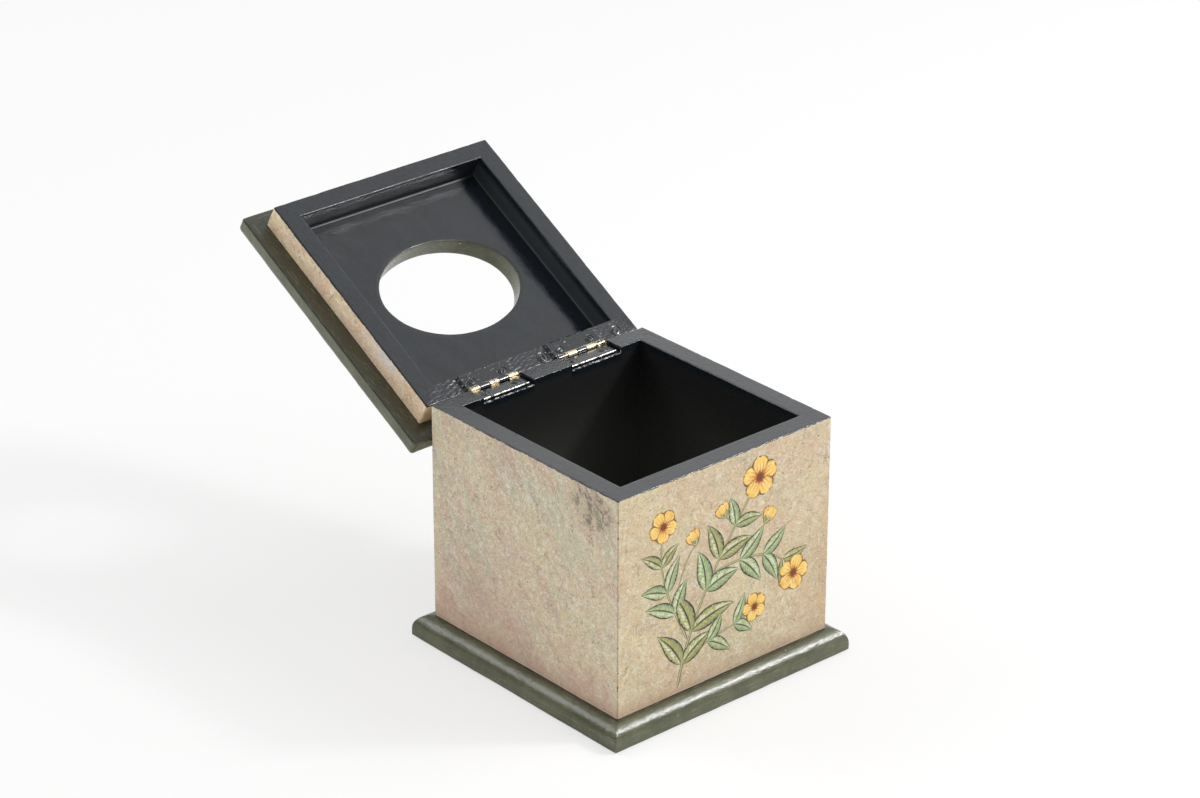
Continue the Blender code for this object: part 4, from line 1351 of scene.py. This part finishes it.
def leaf_finish():
    """Illustrated leaves: dark outline, midrib and slanting veins, and a pale lit half."""
    finish = Finish("leaf_paint")
    laid, stroke = finish.marks("laid", "stroke")
    along, across, kind = stroke.parts()
    wide = abs(across)
    wash = laid.noise(400, 4, 0.6)
    washed = wash.ease(0.3, 0.7)
    yellow = mix(washed, tone(156, 156, 94), tone(196, 192, 130))
    blue = mix(washed, tone(156, 172, 120), tone(196, 208, 156))
    light = across.band(0.10, 0.30, 0.42, 0.72) * laid.noise(300, 2).ease(0.42, 0.55)
    vein = (along * 10.0 - wide * 2.2 + 3.0).math("FRACT").fall(0.0, 0.26)
    vein = vein * wide.ease(0.05, 0.95, 1.0, 0.35)
    rim = (wide + laid.noise(700, 2).ease(0.3, 0.7, -0.10, 0.10)).ease(0.77, 0.86)
    ink = (vein * 0.8).math("MAXIMUM", wide.fall(0.06, 0.13)).math("MAXIMUM", rim)
    color = coats(
        mix(kind.ease(0.45, 0.65), yellow, blue),
        (light * 0.7, (236, 238, 216)),
        (across.ease(-0.75, -0.30, 0.45, 0.0), (92, 112, 84)),
        (ink * 0.9, (30, 38, 42)),
    )
    return finish.done(color, SPRAY_ROUGHNESS, bump(wash + ink, 0.00004))


def stem_finish():
    """Olive stems with a pale left edge and a dark right one."""
    finish = Finish("stem_paint")
    laid, stroke = finish.marks("laid", "stroke")
    across = stroke.parts()[1]
    wash = laid.noise(500, 3, 0.6)
    color = coats(
        mix(wash.ease(0.3, 0.7), tone(140, 134, 76), tone(172, 164, 102)),
        (across.ease(-0.1, 0.2, 0.0, 0.7), (224, 220, 180)),
        (across.ease(0.45, 0.75), (70, 70, 50)),
        (across.ease(-0.85, -0.45, 0.95, 0.0), (52, 54, 44)),
    )
    return finish.done(color, SPRAY_ROUGHNESS, bump(wash, 0.00003))


def petal_finish():
    """Yellow petals that deepen to orange at the heart, with fine dark rays and an outline."""
    finish = Finish("petal_paint")
    laid, stroke = finish.marks("laid", "stroke")
    along, across, _ = stroke.parts()
    rays = abs((across * 2.5 + 0.5).math("FRACT") - 0.5)
    ray = rays.fall(0.03, 0.12) * along.ease(0.35, 0.85, 0.85, 0.0)
    wobble = laid.noise(700, 2).ease(0.3, 0.7, -0.06, 0.06)
    rim = (abs(across) + wobble).ease(0.78, 0.88)
    rim = rim.math("MAXIMUM", (along + wobble).ease(0.93, 0.97))
    ink = ray.math("MAXIMUM", rim)
    color = coats(
        mix(along.ease(0.05, 0.50), tone(226, 130, 40), tone(248, 204, 104)),
        (laid.noise(450, 4, 0.6).ease(0.45, 0.72, 0.0, 0.8), (252, 230, 158)),
        (laid.noise(260, 3, 0.6).ease(0.52, 0.70, 0.0, 0.6), (230, 146, 52)),
        (ink * 0.9, (104, 58, 34)),
    )
    return finish.done(color, SPRAY_ROUGHNESS, bump(ink, 0.00003))


def heart_finish():
    """Orange-brown stamens at the flowers' hearts."""
    finish = Finish("heart_paint")
    along, across, _ = finish.marks("stroke")[0].parts()
    color = coats(
        mix(along.ease(0.3, 0.9), tone(120, 60, 26), tone(206, 110, 34)),
        (abs(across).ease(0.6, 0.9, 0.0, 0.8), (70, 40, 24)),
    )
    return finish.done(color, SPRAY_ROUGHNESS)


# Floor, light and camera

FLOOR_SIZE = 6.0
FLOOR_COLOR = (0.95, 0.95, 0.95, 1.0)
FLOOR_SHOWN_SHARE = 0.42
FLOOR_GLOW = 1.03
AMBIENT = 0.54
BRIGHT_WAY = (1.0, 0.3, 0.0)
BRIGHT_REACH = 0.8
DARK_SHARE = 0.25

# Lamps: the way to each one, its distance, the side of its square and its power
LAMPS = {
    "key_softbox": ((0.62, -0.47, 0.72), 2.2, 1.3, 16.0),
    "small_softbox": ((0.594, -0.51, 0.62), 2.2, 0.26, 13.5),
    "back_softbox": ((-0.45, 0.62, 0.64), 2.4, 1.2, 11.0),
}


def stand(name, data):
    """An object of the studio, in the scene."""
    made = bpy.data.objects.new(name, data)
    bpy.context.scene.collection.objects.link(made)
    return made


def floor():
    """A white floor that keeps the box's shadow, shown paler to the camera than it lights."""
    mesh = bpy.data.meshes.new("studio_floor")
    half = FLOOR_SIZE / 2
    corners = [(-half, -half, 0), (half, -half, 0), (half, half, 0), (-half, half, 0)]
    mesh.from_pydata(corners, [], [(0, 1, 2, 3)])
    material = bpy.data.materials.new("white_floor")
    material.use_nodes = True
    tree = material.node_tree
    tree.nodes.remove(tree.nodes["Principled BSDF"])
    seen = add_node("LightPath", {}, "Is Camera Ray", tree) * (1 - FLOOR_SHOWN_SHARE)
    matt = add_node("BsdfDiffuse", {"Color": FLOOR_COLOR}, tree=tree)
    glow = add_node("Emission", {"Strength": FLOOR_GLOW}, tree=tree)
    shown = add_node("MixShader", {0: seen, 1: matt, 2: glow})
    feed(tree.nodes["Material Output"].inputs["Surface"], shown)
    mesh.materials.append(material)
    stand("studio_floor", mesh)


def world():
    """Even studio light; plain white to the camera, and to a reflection brighter on the right."""
    made = bpy.data.worlds.new("studio")
    bpy.context.scene.world = made
    made.use_nodes = True
    tree = made.node_tree
    way = add_node("TexCoord", {}, "Generated", tree)
    toward = add_node("VectorMath", {0: way, 1: BRIGHT_WAY}, "Value", operation="DOT_PRODUCT")
    span = {"Value": toward, "From Min": 0.0, "From Max": BRIGHT_REACH, "To Min": DARK_SHARE}
    rays = ("Is Glossy Ray", "Is Transmission Ray", "Is Camera Ray")
    strength = AMBIENT
    for ray, shown in zip(rays, (add_node("MapRange", span), 1.0, 1.0)):
        strength = between(add_node("LightPath", {}, ray, tree), strength, shown)
    background = tree.nodes["Background"]
    feed(background.inputs["Strength"], strength)
    feed(background.inputs["Color"], (1.0, 1.0, 1.0, 1.0))


def softbox(name, way, distance, size, power):
    """A square lamp that faces the box from a direction."""
    light = bpy.data.lights.new(name, "AREA")
    light.shape = "SQUARE"
    light.size = size
    light.energy = power
    lamp = stand(name, light)
    away = Vector(way).normalized()
    lamp.location = away * distance + Vector((0, 0, RIM_Z / 2))
    lamp.rotation_euler = away.to_track_quat("Z", "Y").to_euler()


def camera():
    """The photograph's camera, looking from the front left and above."""
    sine, cosine = math.sin(CAMERA_AZIMUTH), math.cos(CAMERA_AZIMUTH)
    level, rise = math.cos(CAMERA_ELEVATION), math.sin(CAMERA_ELEVATION)
    back = Vector((sine * level, -cosine * level, rise))
    right = Vector((cosine, sine, 0))
    up = back.cross(right)
    cosine, sine = math.cos(CAMERA_ROLL), math.sin(CAMERA_ROLL)
    right, up = right * cosine + up * sine, up * cosine - right * sine
    data = bpy.data.cameras.new("photo_camera")
    data.lens = CAMERA_LENS
    data.sensor_width = 36.0
    data.clip_end = 20.0
    made = stand("photo_camera", data)
    turn = Matrix((right, up, back)).transposed().to_4x4()
    made.matrix_world = Matrix.Translation(CAMERA_PLACE) @ turn
    bpy.context.scene.camera = made


def main():
    """Sets up the studio, makes each piece, and gives the pins in the joints their steel."""
    camera()
    floor()
    world()
    for name, lamp in LAMPS.items():
        softbox(name, *lamp)
    bpy.context.scene.view_settings.view_transform = "Standard"
    boards, olive = board_finish(), olive_finish()
    wall_boards(boards)
    rail_boards(boards)
    base_board(olive)
    panel_board(olive)
    hinge_set(brass_finish(), screw_finish())
    flower_spray(leaf_finish(), stem_finish(), petal_finish(), heart_finish())
    steel = pin_finish()
    for name, node in frame["nodes"].items():
        if "_pin_" in name:
            node.data.materials.clear()
            node.data.materials.append(steel)


main()
